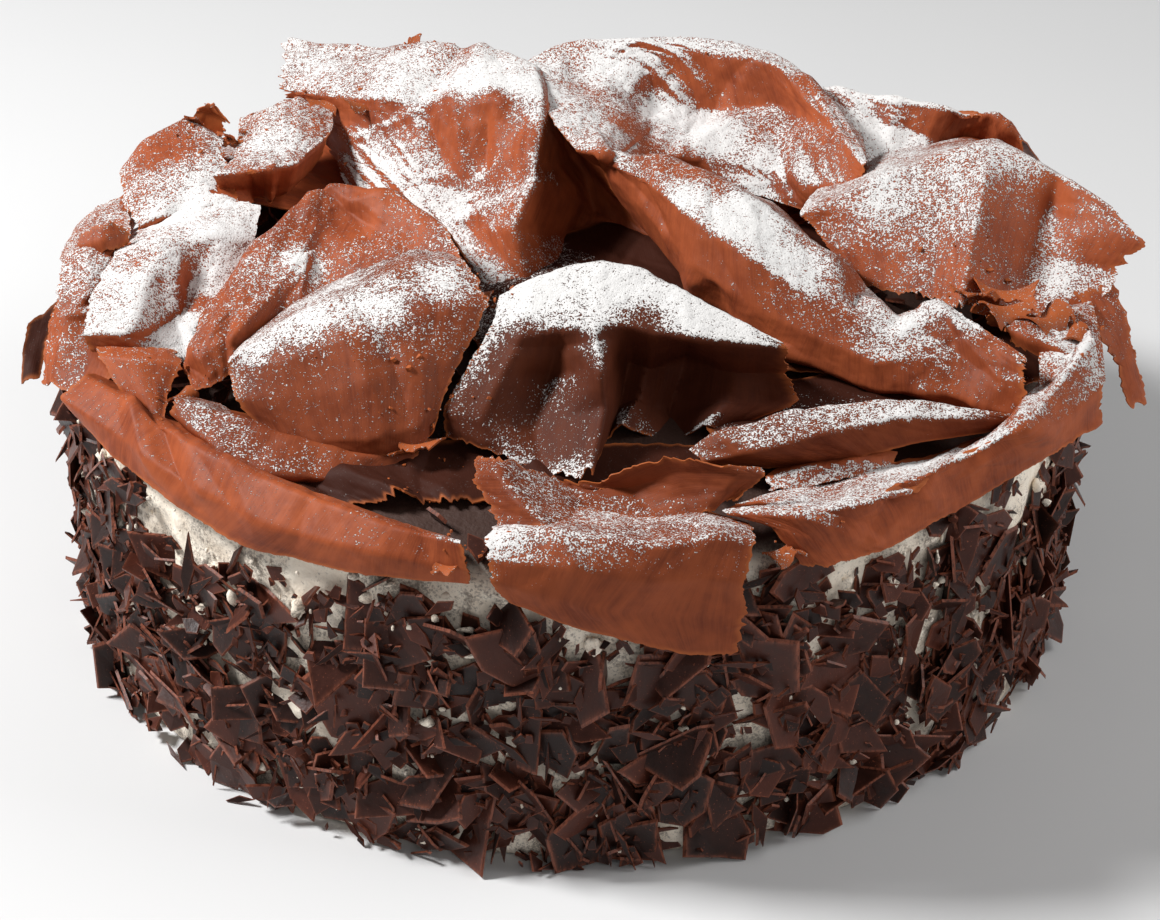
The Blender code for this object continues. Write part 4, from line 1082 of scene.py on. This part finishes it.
def flake_material(look):
    """Dark chocolate: each flake has its own tone, fine scratches, lighter edges and crumbs on it.

    The lighter reddish edges are partly the broken edges' own colour, partly a painted highlight
    where the edges catch the light.
    """
    graph = Graph("dark_flakes")
    place = graph.place()
    tone = graph.attribute("tone")
    mottle = graph.noise(place, 3.0, 4.0, 0.6)
    scratches = graph.noise(graph.stretched(place, (1.0, 1.0, 0.25)), 0.8, 3.0, 0.7)
    brown = (tone * 0.75 + (mottle - 0.5) * 0.5).step(0.0, 1.0).mix(look.dark, look.light)
    # Lighter reddish edges: partly their own colour, partly a painted highlight where edges catch the
    # light.
    worn = graph.attribute("edge") ** 18.0 * 0.60 * scratches.step(0.3, 0.6)
    crumbs = graph.noise(place, 0.5, 1.0).step(0.68, 0.74) * mottle.step(0.4, 0.6) * 0.7
    colour = crumbs.mix(worn.mix(brown, look.edge), look.edge)
    roughness = 0.30 + 0.3 * mottle
    normal = graph.bump(scratches, 0.10, 0.6, graph.bump(mottle, 0.3, 0.5))
    return graph.finish(colour, roughness, normal, specular=0.25)


def cream_material(look):
    """Whipped cream with soft pores, stained by cocoa where flakes have been pressed in.

    It is painted darker in the hollows between its lumps and dark cocoa brown on the top under
    the ruffles, as painted shade.
    """
    graph = Graph("cream")
    place = graph.place()
    lumps = graph.noise(place, 6.0, 4.0, 0.6)
    pores = graph.noise(place, 1.2, 3.0, 0.6)
    stain = graph.noise(place, 9.0, 5.0, 0.7)
    cocoa = graph.noise(place, 0.7, 2.0, 0.7)
    # Painted shade: the cream is painted darker in the hollows between its lumps.
    colour = lumps.step(0.3, 0.7).mix(look.painted_shade, look.cream)
    stained = (stain * 0.9 + cocoa * 0.7).step(0.76, 0.98)
    colour = (stained * 0.65).mix(colour, look.cocoa)
    # Painted shade: the top inside the rim, under the ruffles, is painted dark cocoa brown.
    colour = graph.attribute("cover").mix(colour, look.cocoa)
    normal = graph.bump(lumps, 1.0, 0.7, graph.bump(pores, 0.3, 0.7))
    return graph.finish(colour, 0.55 + 0.3 * pores, normal)


def floor_material():
    """A pale seamless studio floor."""
    graph = Graph("floor")
    tint = graph.noise(graph.place(), 260.0)
    colour = tint.mix((0.66, 0.66, 0.66), (0.70, 0.70, 0.70))
    return graph.finish(colour, 0.6 + 0.1 * tint, graph.bump(tint, 0.1))


def turned_cake():
    """The cream coat as a grid: a turned profile, pushed out by soft lumps.

    Lumps are noise 16 mm, 6 mm and 2.5 mm apart. They fade out at the flat base and in the
    middle of the top.
    """
    steps = np.linalg.norm(np.diff(CAKE_PROFILE, axis=0), axis=1)
    travelled = np.concatenate(([0.0], np.cumsum(steps)))
    rim, base, end = travelled[[RIM_POINT, BASE_POINT, -1]]
    along = np.concatenate((
        np.linspace(0.5, rim, 30, endpoint=False),
        np.linspace(rim, base, 80, endpoint=False),
        np.linspace(base, end - 0.5, 8)))
    radius = np.interp(along, travelled, CAKE_PROFILE[:, 0])[:, None]
    height = np.interp(along, travelled, CAKE_PROFILE[:, 1])[:, None]
    angle = np.linspace(0.0, math.tau, CAKE_COLUMNS, endpoint=False)[None, :]
    outward = np.stack((np.cos(angle) + 0 * radius, np.sin(angle) + 0 * radius,
                        0 * radius * angle), axis=-1)
    points = outward * radius[..., None]
    points[..., 2] = height
    lumps = 1.3 * noise(points, 16.0, 5) + 0.7 * ridges(points, 6.0, 6) + 0.25 * noise(points, 2.5, 7)
    fade = smooth_step(height, 1.0, 8.0) * smooth_step(radius, 20.0, 60.0)
    points = points + outward * (lumps * fade)[..., None]
    return points


def ring_faces(rows, columns):
    """Squares between the rings of a grid whose last column meets its first, facing out."""
    index = np.arange(rows * columns).reshape(rows, columns)
    beside = np.roll(index, -1, axis=1)
    squares = np.stack((index[:-1], index[1:], beside[1:], beside[:-1]), axis=-1)
    return squares.reshape(-1, 4)


def space_cell(points):
    """The cell of space round each point, and whether the block of cells reaches that far."""
    cell = ((points - OCCUPIED_LOW) / OCCUPIED_CELL).astype(int)
    inside = np.all((cell >= 0) & (cell < np.array(OCCUPIED_SHAPE)), axis=-1)
    return np.clip(cell, 0, np.array(OCCUPIED_SHAPE) - 1), inside


@functools.cache
def occupied():
    """Cells of space that hold a ruffle, with the cells beside them."""
    cells = np.zeros(OCCUPIED_SHAPE, dtype=bool)
    for sheet in all_sheets().values():
        cell, _ = space_cell(sheet["points"].reshape(-1, 3))
        cells[cell[:, 0], cell[:, 1], cell[:, 2]] = True
    grown = cells.copy()
    for axis in range(3):
        for shift in (-1, 1):
            grown |= np.roll(cells, shift, axis)
    return grown


def in_ruffles(points):
    """Whether each point lies in or right beside a ruffle."""
    cell, inside = space_cell(points)
    return occupied()[cell[..., 0], cell[..., 1], cell[..., 2]] & inside


def round_axis(angle, third):
    """Points at these angles on the unit circle, with this third coordinate."""
    return np.stack((np.cos(angle), np.sin(angle), third), axis=-1)


def repeated(faces, count, corners):
    """The faces of one small part, repeated for each of many parts with this many corners."""
    return (faces[None] + np.arange(count)[:, None, None] * corners).reshape(-1, faces.shape[1])


def flake_corners(rng, places, outward, sizes, tilts, corners):
    """Corners of many flakes: an upper and a lower ring of uneven radius, then two middles.

    Each flake lies across `outward`, spun at random and tilted by its angle towards a random
    side. It bends a little along its length. Sizes are length, width and thickness.
    """
    count = len(places)
    spin = rng.uniform(0.0, math.tau, count)
    helper = np.where(np.abs(outward[:, 2:]) > 0.9, (1.0, 0.0, 0.0), (0.0, 0.0, 1.0))
    side = np.cross(helper, outward)
    side /= np.linalg.norm(side, axis=1, keepdims=True)
    rise = np.cross(outward, side)
    lean = side * np.cos(spin)[:, None] + rise * np.sin(spin)[:, None]
    facing = outward * np.cos(tilts)[:, None] + lean * np.sin(tilts)[:, None]
    turn = rng.uniform(0.0, math.tau, count)
    long_way = side * np.cos(turn)[:, None] + rise * np.sin(turn)[:, None]
    long_way -= facing * (long_way * facing).sum(axis=1, keepdims=True)
    long_way /= np.linalg.norm(long_way, axis=1, keepdims=True) + TINY
    wide_way = np.cross(facing, long_way)
    angle = (np.arange(corners) + rng.uniform(*FLAKE_SHIFT, (count, corners))) * math.tau / corners
    pull = rng.uniform(*FLAKE_PULL, (count, corners))
    x = 0.5 * sizes[:, :1] * pull * np.cos(angle)
    y = 0.5 * sizes[:, 1:2] * pull * np.sin(angle)
    bend = rng.uniform(*FLAKE_BEND, (count, 1)) * x ** 2 / sizes[:, :1] * 2.0
    half = 0.5 * sizes[:, 2:3]
    middle = np.zeros((count, 1))
    x = np.concatenate((x * FLAKE_BEVEL, x, middle, middle), axis=1)
    y = np.concatenate((y * FLAKE_BEVEL, y, middle, middle), axis=1)
    z = np.concatenate((bend + half, bend - half, half, -half), axis=1)
    points = (x[..., None] * long_way[:, None] + y[..., None] * wide_way[:, None]
              + z[..., None] * facing[:, None])
    return places[:, None] + points


def flake_faces(count, corners):
    """Faces of many flakes: a fan above, a fan below and a band of triangles round the edge."""
    ring = np.arange(corners)
    beside = (ring + 1) % corners
    upper = np.stack((ring, beside, np.full(corners, 2 * corners)), axis=-1)
    lower = np.stack((beside + corners, ring + corners, np.full(corners, 2 * corners + 1)), axis=-1)
    band = np.concatenate((
        np.stack((ring, ring + corners, beside), axis=-1),
        np.stack((beside, ring + corners, beside + corners), axis=-1)))
    return repeated(np.concatenate((upper, lower, band)), count, 2 * corners + 2)


def dress_as_body(thing, material):
    """Make a piece stand for the cake body, in this material."""
    thing.data.materials.append(material)
    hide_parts("cake_body")


def flake_piece(name, points, tones, corners, material):
    """One joined piece of many flakes. Each has its own tone, and their edges are marked."""
    count = len(points)
    thing = new_piece(name, points.reshape(-1, 3), flake_faces(count, corners), smooth=False)
    edge = np.concatenate((np.ones(2 * corners), np.zeros(2)))
    set_attribute(thing, "tone", np.repeat(tones, 2 * corners + 2))
    set_attribute(thing, "edge", np.tile(edge, count))
    dress_as_body(thing, material)


def settled(points, reach, floor):
    """Flakes moved in so that none passes the reach, and up so that none passes the floor."""
    radius = np.linalg.norm(points[..., :2], axis=-1)
    excess = np.maximum(0.0, radius.max(axis=1) - reach)
    middle = points[..., :2].mean(axis=1)
    inward = middle / (np.linalg.norm(middle, axis=1, keepdims=True) + TINY)
    points = points.copy()
    points[..., :2] -= inward[:, None] * excess[:, None, None]
    points[..., 2] += np.maximum(0.0, floor - points[..., 2].min(axis=1))[:, None]
    return points


def side_flakes(rng, count, lengths, slimness, layer, corners, look):
    """Flakes of one kind on the side of the cake, clear of the ruffles.

    They are spread at random, thinned out towards the rim by how bare the cream is there, and
    left out in gaps where noise 8 mm and 3.5 mm apart runs high.
    """
    angle = rng.uniform(0.0, math.tau, count)
    height = rng.uniform(*FLAKE_HEIGHTS, count)
    around = round_axis(angle, height / 60.0)
    open_band = sum(smooth_step(np.abs((angle - np.radians(middle) + math.pi) % math.tau - math.pi),
                                np.radians(half_width), 0.0) for middle, half_width in BARE_BANDS)
    patchy = height + 12.0 * noise(around * 60.0, 22.0, 31) + 9.0 * open_band
    bare = smooth_step(patchy, *BARE_HEIGHTS) * look.bareness * (0.5 + 0.5 * open_band)
    on_side = round_axis(angle, height / CAKE_RADIUS) * CAKE_RADIUS
    patches = noise(on_side, 8.0, 37) + 0.6 * noise(on_side, 3.5, 38)
    gaps = look.gaps * smooth_step(patches, 0.36, 0.56)
    kept = rng.uniform(0.0, 1.0, count) > np.maximum(bare, gaps)
    angle, height = angle[kept], height[kept]
    count = len(angle)
    outward = round_axis(angle, 0 * angle)
    places = outward * (CAKE_RADIUS + rng.uniform(*layer, count))[:, None]
    places[:, 2] = height
    long_side = lengths[0] + (lengths[1] - lengths[0]) * rng.uniform(0.0, 1.0, count) ** 1.8
    sizes = np.stack((long_side, long_side * rng.uniform(*slimness, count),
                      rng.uniform(0.35, 0.75, count)), axis=-1)
    tilts = np.clip(np.abs(rng.normal(0.0, look.tilt, count)), 0.0, STEEPEST_TILT)
    points = flake_corners(rng, places, outward, sizes, tilts, corners)
    points = settled(points, look.reach / MM, FLAKE_FLOOR)
    points = points[~in_ruffles(points).any(axis=1)]
    return points, rng.uniform(0.0, 1.0, len(points))


def on_the_ruffles(places):
    """Places lifted or lowered to lie on the highest ruffle under them, and which have one."""
    cell = map_cell(places)
    heights = height_map()[cell[:, 0], cell[:, 1]]
    places = places.copy()
    places[:, 2] = heights + CRUMB_LIFT
    return places, heights > CAKE_RIM_HEIGHT


def dab_shape(rings, columns):
    """A unit ball: rings of corners between two poles, with triangles and no open edge."""
    polar = np.linspace(0.0, math.pi, rings + 2)[1:-1, None]
    around = np.linspace(0.0, math.tau, columns, endpoint=False)[None, :]
    ball = np.stack((np.sin(polar) * np.cos(around), np.sin(polar) * np.sin(around),
                     np.cos(polar) + 0 * around), axis=-1).reshape(-1, 3)
    ball = np.concatenate((ball, ((0.0, 0.0, 1.0), (0.0, 0.0, -1.0))))
    squares = ring_faces(rings, columns)
    top = np.arange(columns)
    bottom = top + (rings - 1) * columns
    north = np.full(columns, rings * columns)
    faces = np.concatenate((
        squares[:, (0, 1, 2)], squares[:, (0, 2, 3)],
        np.stack((north, top, np.roll(top, -1)), axis=-1),
        np.stack((north + 1, np.roll(bottom, -1), bottom), axis=-1)))
    return ball, faces


class RuffleSettings(bpy.types.PropertyGroup):
    """Sizes and colours of the chocolate ruffles."""
    thickness: FloatProperty(
        name="Thickness", description="Thickness of a ruffle", default=0.0008, unit="LENGTH")
    spacing: FloatProperty(
        name="Spacing", description="Size of a surface cell, in millimetres", default=0.7)
    crumple: FloatProperty(
        name="Crumple", description="Height of the small folds, in millimetres", default=0.8)
    crumbs: IntProperty(name="Crumbs", description="Crumbs round each torn curl", default=14)
    seed: IntProperty(name="Seed", description="Start of the random folds and tears", default=7)
    dark: FloatVectorProperty(
        name="Dark brown", description="Darkest chocolate", subtype="COLOR",
        default=(0.160, 0.032, 0.013))
    light: FloatVectorProperty(
        name="Light brown", description="Lightest chocolate", subtype="COLOR",
        default=(0.385, 0.090, 0.030))
    # Painted shade: the dark brown painted on ruffles that lie in shadow deep among the others.
    painted_shade: FloatVectorProperty(
        name="Shaded brown", description="Ruffles deep between the others", subtype="COLOR",
        default=(0.042, 0.0105, 0.0052))
    # Rims and lower faces: the lighter colour of thin chocolate, partly a painted glow of light through
    # it.
    thin_and_glow: FloatVectorProperty(
        name="Thin brown", description="Rims and lower faces", subtype="COLOR",
        default=(0.440, 0.120, 0.034))
    sugar: FloatVectorProperty(
        name="Icing sugar", description="Icing sugar", subtype="COLOR",
        default=(0.710, 0.695, 0.680))


class FlakeSettings(bpy.types.PropertyGroup):
    """Numbers, sizes and colours of the dark flakes."""
    plates: IntProperty(name="Plates", description="Broad flakes on the side", default=2300)
    chips: IntProperty(name="Chips", description="Small flakes on the side", default=3600)
    splinters: IntProperty(name="Splinters", description="Long slim flakes", default=900)
    shards: IntProperty(name="Shards", description="Flakes between the ruffles", default=520)
    bareness: FloatProperty(
        name="Bareness", description="How bare the cream is under the rim", default=0.95)
    gaps: FloatProperty(
        name="Gaps", description="How bare the cream is in gaps between the flakes", default=0.75)
    tilt: FloatProperty(
        name="Tilt", description="Usual tilt of a flake", default=0.6, subtype="ANGLE")
    reach: FloatProperty(
        name="Reach", description="Radius that no flake passes", default=0.1355, unit="LENGTH")
    seed: IntProperty(name="Seed", description="Start of the random scatter", default=21)
    dark: FloatVectorProperty(
        name="Dark brown", description="Darkest flakes", subtype="COLOR",
        default=(0.0150, 0.0048, 0.0032))
    light: FloatVectorProperty(
        name="Light brown", description="Lightest flakes", subtype="COLOR",
        default=(0.088, 0.0225, 0.0125))
    # Broken edges: their own reddish colour, partly a painted highlight where they catch the light.
    edge: FloatVectorProperty(
        name="Edge brown", description="Broken edges", subtype="COLOR",
        default=(0.300, 0.088, 0.046))


class CreamSettings(bpy.types.PropertyGroup):
    """The cream coat and the dabs on it."""
    dabs: IntProperty(name="Dabs", description="Dabs between the flakes", default=900)
    seed: IntProperty(name="Seed", description="Start of the random scatter", default=33)
    cream: FloatVectorProperty(
        name="Cream", description="Fresh cream", subtype="COLOR", default=(0.96, 0.87, 0.74))
    painted_shade: FloatVectorProperty(
        # Painted shade in the hollows between the cream's lumps.
        name="Shaded cream", description="Cream between its lumps", subtype="COLOR",
        default=(0.80, 0.69, 0.56))
    # Real cocoa stains, and also the painted shade on the top under the ruffles.
    cocoa: FloatVectorProperty(
        name="Cocoa", description="Cream stained by cocoa", subtype="COLOR",
        default=(0.045, 0.018, 0.011))


class StageSettings(bpy.types.PropertyGroup):
    """Camera and light."""
    distance: FloatProperty(
        name="Distance", description="Camera to its aim", default=0.8, unit="LENGTH")
    elevation: FloatProperty(
        name="Elevation", description="Camera above the horizon", default=math.radians(31),
        subtype="ANGLE")
    lens: FloatProperty(name="Lens", description="Focal length in millimetres", default=93.0)
    aim: FloatVectorProperty(
        name="Aim", description="Point the camera looks at", default=(0.002, 0.0, 0.0345),
        subtype="XYZ")


class CAKE_OT_ruffles(bpy.types.Operator):
    """Lay the chocolate ruffles over the top."""
    bl_idname = "cake.ruffles"
    bl_label = "Chocolate ruffles"

    def execute(self, context):
        look = context.scene.cake_ruffles
        material = ruffle_material(look)
        for name, sheet in all_sheets().items():
            points = sheet["points"]
            normals = sheet["normals"]
            sugar = sugar_cover(name, sheet)
            lumps = 0.6 + 0.4 * noise(points, 3.4, sheet["seed"] + 60)
            lumps = lumps + 0.4 * noise(points, 1.5, sheet["seed"] + 61)
            heaped = smooth_step(sugar, 0.35, 0.95) * lumps * SUGAR_HEAP
            raised = points + normals * heaped[..., None]
            down, across = (np.minimum(np.arange(n), np.arange(n)[::-1]) for n in sugar.shape)
            to_rim = np.minimum(down[:, None], across[None, :]) * look.spacing
            thickness = look.thickness / MM * (0.45 + 0.55 * smooth_step(to_rim, 0.0, 6.0))
            corners, faces = closed_sheet(raised, normals, thickness)
            piece = new_piece(name + "_chocolate", corners, faces, smooth=True)
            piece.data.set_sharp_from_angle(angle=RUFFLE_SHARP_ANGLE)
            # Rims: painted lighter and more orange, partly thin chocolate's own colour, partly a painted
            # glow of light through it.
            frayed = 0.55 + 0.45 * noise(points, 5.0, sheet["seed"] + 62)
            rim = ((1.0 - smooth_step(to_rim, 0.0, 1.9)) * frayed).ravel()
            none = np.zeros(rim.size)
            set_attribute(piece, "sugar", np.concatenate((sugar.ravel(), none)))
            set_attribute(piece, "rim", np.concatenate((rim, rim)))
            # Lower faces: painted lighter and more orange, as a painted glow of light through the sheet.
            set_attribute(piece, "under", np.concatenate((none, none + 1)))
            # Painted shade: how far this ruffle's chocolate is painted towards the shaded brown.
            set_attribute(piece, "painted_shade", np.full(2 * rim.size, ruffle_look(name)["painted_shade"]))
            flat = sheet["flat"].reshape(-1, 2)
            set_flat_map(piece, np.concatenate((flat, flat)))
            piece.data.materials.append(material)
            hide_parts(name)
        return {"FINISHED"}


def dress_as_ruffle(thing, material, sugar, rim, under):
    """Give a small piece the attributes and the flat map that the ruffle material reads."""
    count = len(thing.data.vertices)
    for name, value in (("sugar", sugar), ("rim", rim), ("under", under), ("painted_shade", 0.0)):
        set_attribute(thing, name, np.full(count, value))
    corners = np.empty(3 * count, dtype=np.float32)
    thing.data.vertices.foreach_get("co", corners)
    set_flat_map(thing, corners.reshape(-1, 3)[:, (0, 2)] / MM)
    thing.data.materials.append(material)


class CAKE_OT_curls(bpy.types.Operator):
    """Set the small torn curls and the crumbs round them."""
    bl_idname = "cake.curls"
    bl_label = "Torn curls and crumbs"

    def execute(self, context):
        look = context.scene.cake_ruffles
        material = ruffle_material(look)
        parts = []
        for number, curl in enumerate(TORN_CURLS):
            foot = np.array(curl[:3], dtype=float)
            points, normals = curl_grid(foot, *curl[3:], look.seed + 20 * number)
            thickness = np.full(points.shape[:2], look.thickness / MM * 0.7)
            parts.append(closed_sheet(points, normals, thickness))
        corners, faces = joined(parts)
        piece = new_piece("torn_curls", corners, faces, smooth=True)
        piece.data.set_sharp_from_angle(angle=CURL_SHARP_ANGLE)
        # The curls are painted partly towards the rim and lower-face brown: partly thin chocolate's
        # colour, partly a painted glow.
        dress_as_ruffle(piece, material, 0.16, 0.25, 0.35)
        rng = np.random.default_rng(look.seed + 5)
        feet = np.array([curl[:2] for curl in TORN_CURLS], dtype=float)
        feet = np.repeat(feet, look.crumbs, axis=0)
        places = np.zeros((len(feet), 3))
        places[:, :2] = feet + rng.normal(0.0, CRUMB_SPREAD, feet.shape)
        places, held = on_the_ruffles(places)
        places = places[held]
        count = len(places)
        long_side = 0.5 + 1.6 * rng.uniform(0.0, 1.0, count) ** 2.5
        sizes = np.stack((long_side, long_side * rng.uniform(0.4, 1.0, count),
                          long_side * rng.uniform(0.2, 0.5, count)), axis=-1)
        up = np.tile((0.0, 0.0, 1.0), (count, 1))
        tilts = rng.uniform(0.0, 0.7, count)
        points = flake_corners(rng, places, up, sizes, tilts, CRUMB_CORNERS)
        faces = flake_faces(count, CRUMB_CORNERS)
        crumbs = new_piece("crumbs", points.reshape(-1, 3), faces, smooth=False)
        # The crumbs are painted partly towards the rim and lower-face brown: partly thin chocolate's
        # colour, partly a painted glow.
        dress_as_ruffle(crumbs, material, 0.10, 0.30, 0.6)
        return {"FINISHED"}


class CAKE_OT_cream(bpy.types.Operator):
    """Coat the cake in cream."""
    bl_idname = "cake.cream"
    bl_label = "Cream coat"

    def execute(self, context):
        grid = turned_cake()
        rows, columns = grid.shape[:2]
        centres = np.array(((0.0, 0.0, CAKE_MIDDLE_HEIGHT), (0.0, 0.0, CAKE_BASE_HEIGHT)))
        corners = np.concatenate((grid.reshape(-1, 3), centres))
        top = rows * columns
        ring = np.arange(columns)
        beside = np.roll(ring, -1)
        last = (rows - 1) * columns
        caps = np.concatenate((
            np.stack((np.full(columns, top), ring, beside, beside), axis=-1),
            np.stack((np.full(columns, top + 1), last + beside, last + ring, last + ring), axis=-1)))
        piece = new_piece("cream_coat", corners, ring_faces(rows, columns), smooth=True)
        # Painted shade: the top inside the rim lies under the ruffles and is painted cocoa dark.
        inset = CAKE_RADIUS - np.linalg.norm(grid[..., :2], axis=-1)
        cover = (smooth_step(inset, 1.0, 6.0) * smooth_step(grid[..., 2], 60.0, 76.0)).ravel()
        set_attribute(piece, "cover", np.concatenate((cover, (1.0, 0.0))))
        look = context.scene.cake_cream
        material = cream_material(look)
        dress_as_body(piece, material)
        self.dabs(look, material)
        return {"FINISHED"}

    def dabs(self, look, material):
        """Small dabs of cream that the flakes have squeezed out of the side."""
        rng = np.random.default_rng(look.seed)
        count = look.dabs
        angle = rng.uniform(0.0, math.tau, count)
        places = round_axis(angle, 0 * angle) * (CAKE_RADIUS + rng.uniform(0.3, 2.6, (count, 1)))
        places[:, 2] = rng.uniform(*DAB_HEIGHTS, count)
        places = places[~in_ruffles(places)]
        count = len(places)
        ball, faces = dab_shape(4, 8)
        sizes = 0.4 + 1.3 * rng.uniform(0.0, 1.0, (count, 1)) ** 3
        sizes = sizes * rng.uniform(0.3, 1.7, (count, 3))
        points = places[:, None] + ball * sizes[:, None]
        points = points + 0.7 * sizes[:, None] * noise(points, 1.1, 8)[..., None] * ball
        faces = repeated(faces, count, len(ball))
        piece = new_piece("cream_dabs", points.reshape(-1, 3), faces, smooth=True)
        set_attribute(piece, "cover", np.zeros(count * len(ball)))
        dress_as_body(piece, material)


class CAKE_OT_side_flakes(bpy.types.Operator):
    """Press the dark flakes into the side."""
    bl_idname = "cake.side_flakes"
    bl_label = "Side flakes"

    def execute(self, context):
        look = context.scene.cake_flakes
        rng = np.random.default_rng(look.seed)
        material = flake_material(look)
        # Name, count, lengths, width over length, depth of the layer on the cream, and corners.
        kinds = (
            ("side_plates", look.plates, (9.0, 27.0), (0.35, 0.90), (0.2, 3.4), 5),
            ("side_chips", look.chips, (2.5, 9.0), (0.35, 0.95), (0.0, 4.6), 4),
            ("side_splinters", look.splinters, (9.0, 24.0), (0.07, 0.22), (0.6, 4.8), 4),
        )
        for name, count, lengths, slimness, layer, corners in kinds:
            points, tones = side_flakes(rng, count, lengths, slimness, layer, corners, look)
            flake_piece(name, points, tones, corners, material)
        return {"FINISHED"}


class CAKE_OT_top_shards(bpy.types.Operator):
    """Scatter flakes in the gaps between the ruffles."""
    bl_idname = "cake.top_shards"
    bl_label = "Top shards"

    def execute(self, context):
        look = context.scene.cake_flakes
        rng = np.random.default_rng(look.seed + 1)
        count = look.shards
        angle = rng.uniform(0.0, math.tau, count)
        radius = SHARD_RADIUS * np.sqrt(rng.uniform(0.0, 1.0, count))
        height = CAKE_MIDDLE_HEIGHT - 6.0 * (radius / CAKE_RADIUS) ** 3 + rng.uniform(0, 2, count)
        places = np.stack((radius * np.cos(angle), radius * np.sin(angle), height), axis=-1)
        up = np.tile((0.0, 0.0, 1.0), (count, 1))
        long_side = rng.uniform(4.0, 15.0, count)
        sizes = np.stack((long_side, long_side * rng.uniform(0.3, 0.9, count),
                          rng.uniform(0.5, 1.0, count)), axis=-1)
        tilts = np.clip(np.abs(rng.normal(0.0, 0.7, count)), 0.0, STEEPEST_TILT)
        points = flake_corners(rng, places, up, sizes, tilts, SHARD_CORNERS)
        points = points[~in_ruffles(points).any(axis=1)]
        tones = rng.uniform(0.3, 1.0, len(points))
        flake_piece("top_shards", points, tones, SHARD_CORNERS, flake_material(look))
        return {"FINISHED"}


class CAKE_OT_stage(bpy.types.Operator):
    """Set up the floor, the lights and the camera."""
    bl_idname = "cake.stage"
    bl_label = "Stage"

    def execute(self, context):
        look = context.scene.cake_stage
        scene = context.scene
        mesh = bpy.data.meshes.new("floor")
        signs = ((-1, -1), (1, -1), (1, 1), (-1, 1))
        mesh.from_pydata([(x * FLOOR_REACH, y * FLOOR_REACH, 0) for x, y in signs], [], [(0, 1, 2, 3)])
        floor = bpy.data.objects.new("floor", mesh)
        scene.collection.objects.link(floor)
        mesh.materials.append(floor_material())
        world = bpy.data.worlds.new("studio")
        world.use_nodes = True
        background = world.node_tree.nodes["Background"]
        background.inputs["Color"].default_value = (1.0, 1.0, 1.0, 1.0)
        background.inputs["Strength"].default_value = WORLD_STRENGTH
        scene.world = world
        for light in LIGHTS:
            self.light(*light)
        camera = bpy.data.cameras.new("camera")
        camera.lens = look.lens
        camera.sensor_width = 36.0
        camera.clip_start = 0.01
        thing = bpy.data.objects.new("camera", camera)
        scene.collection.objects.link(thing)
        back = Vector((0.0, -math.cos(look.elevation), math.sin(look.elevation)))
        thing.location = Vector(look.aim) + back * look.distance
        thing.rotation_euler = back.to_track_quat("Z", "Y").to_euler()
        scene.camera = thing
        scene.view_settings.view_transform = "Standard"
        return {"FINISHED"}

    def light(self, name, place, size, power):
        """A square soft light aimed at the top of the cake."""
        lamp = bpy.data.lights.new(name, "AREA")
        lamp.size = size
        lamp.energy = power
        thing = bpy.data.objects.new(name, lamp)
        bpy.context.scene.collection.objects.link(thing)
        thing.location = place
        toward = Vector(place) - Vector(LIT_POINT)
        thing.rotation_euler = toward.to_track_quat("Z", "Y").to_euler()


class CAKE_PT_panel(bpy.types.Panel):
    """Sidebar panel with every size, colour and step."""
    bl_label = "Black forest cake"
    bl_idname = "CAKE_PT_panel"
    bl_space_type = "VIEW_3D"
    bl_region_type = "UI"
    bl_category = "Cake"

    def draw(self, context):
        layout = self.layout
        for name, (group, operators) in SECTIONS.items():
            box = layout.box()
            settings = getattr(context.scene, name)
            for prop in group.__annotations__:
                box.prop(settings, prop)
            for operator in operators:
                box.operator(operator.bl_idname)


SECTIONS = {
    "cake_ruffles": (RuffleSettings, (CAKE_OT_ruffles, CAKE_OT_curls)),
    "cake_cream": (CreamSettings, (CAKE_OT_cream,)),
    "cake_flakes": (FlakeSettings, (CAKE_OT_side_flakes, CAKE_OT_top_shards)),
    "cake_stage": (StageSettings, (CAKE_OT_stage,)),
}
CLASSES = (
    RuffleSettings, CreamSettings, FlakeSettings, StageSettings,
    CAKE_OT_ruffles, CAKE_OT_curls, CAKE_OT_cream, CAKE_OT_side_flakes, CAKE_OT_top_shards,
    CAKE_OT_stage,
    CAKE_PT_panel,
)


def register():
    """Add the classes and the settings to Blender."""
    for cls in CLASSES:
        bpy.utils.register_class(cls)
    for name, (group, _) in SECTIONS.items():
        setattr(bpy.types.Scene, name, PointerProperty(type=group))


def unregister():
    """Take the settings and the classes out of Blender again."""
    for name in SECTIONS:
        delattr(bpy.types.Scene, name)
    for cls in reversed(CLASSES):
        bpy.utils.unregister_class(cls)


def main():
    """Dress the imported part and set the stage."""
    register()
    bpy.ops.cake.ruffles()
    bpy.ops.cake.curls()
    bpy.ops.cake.cream()
    bpy.ops.cake.side_flakes()
    bpy.ops.cake.top_shards()
    bpy.ops.cake.stage()


if __name__ == "__main__":
    main()
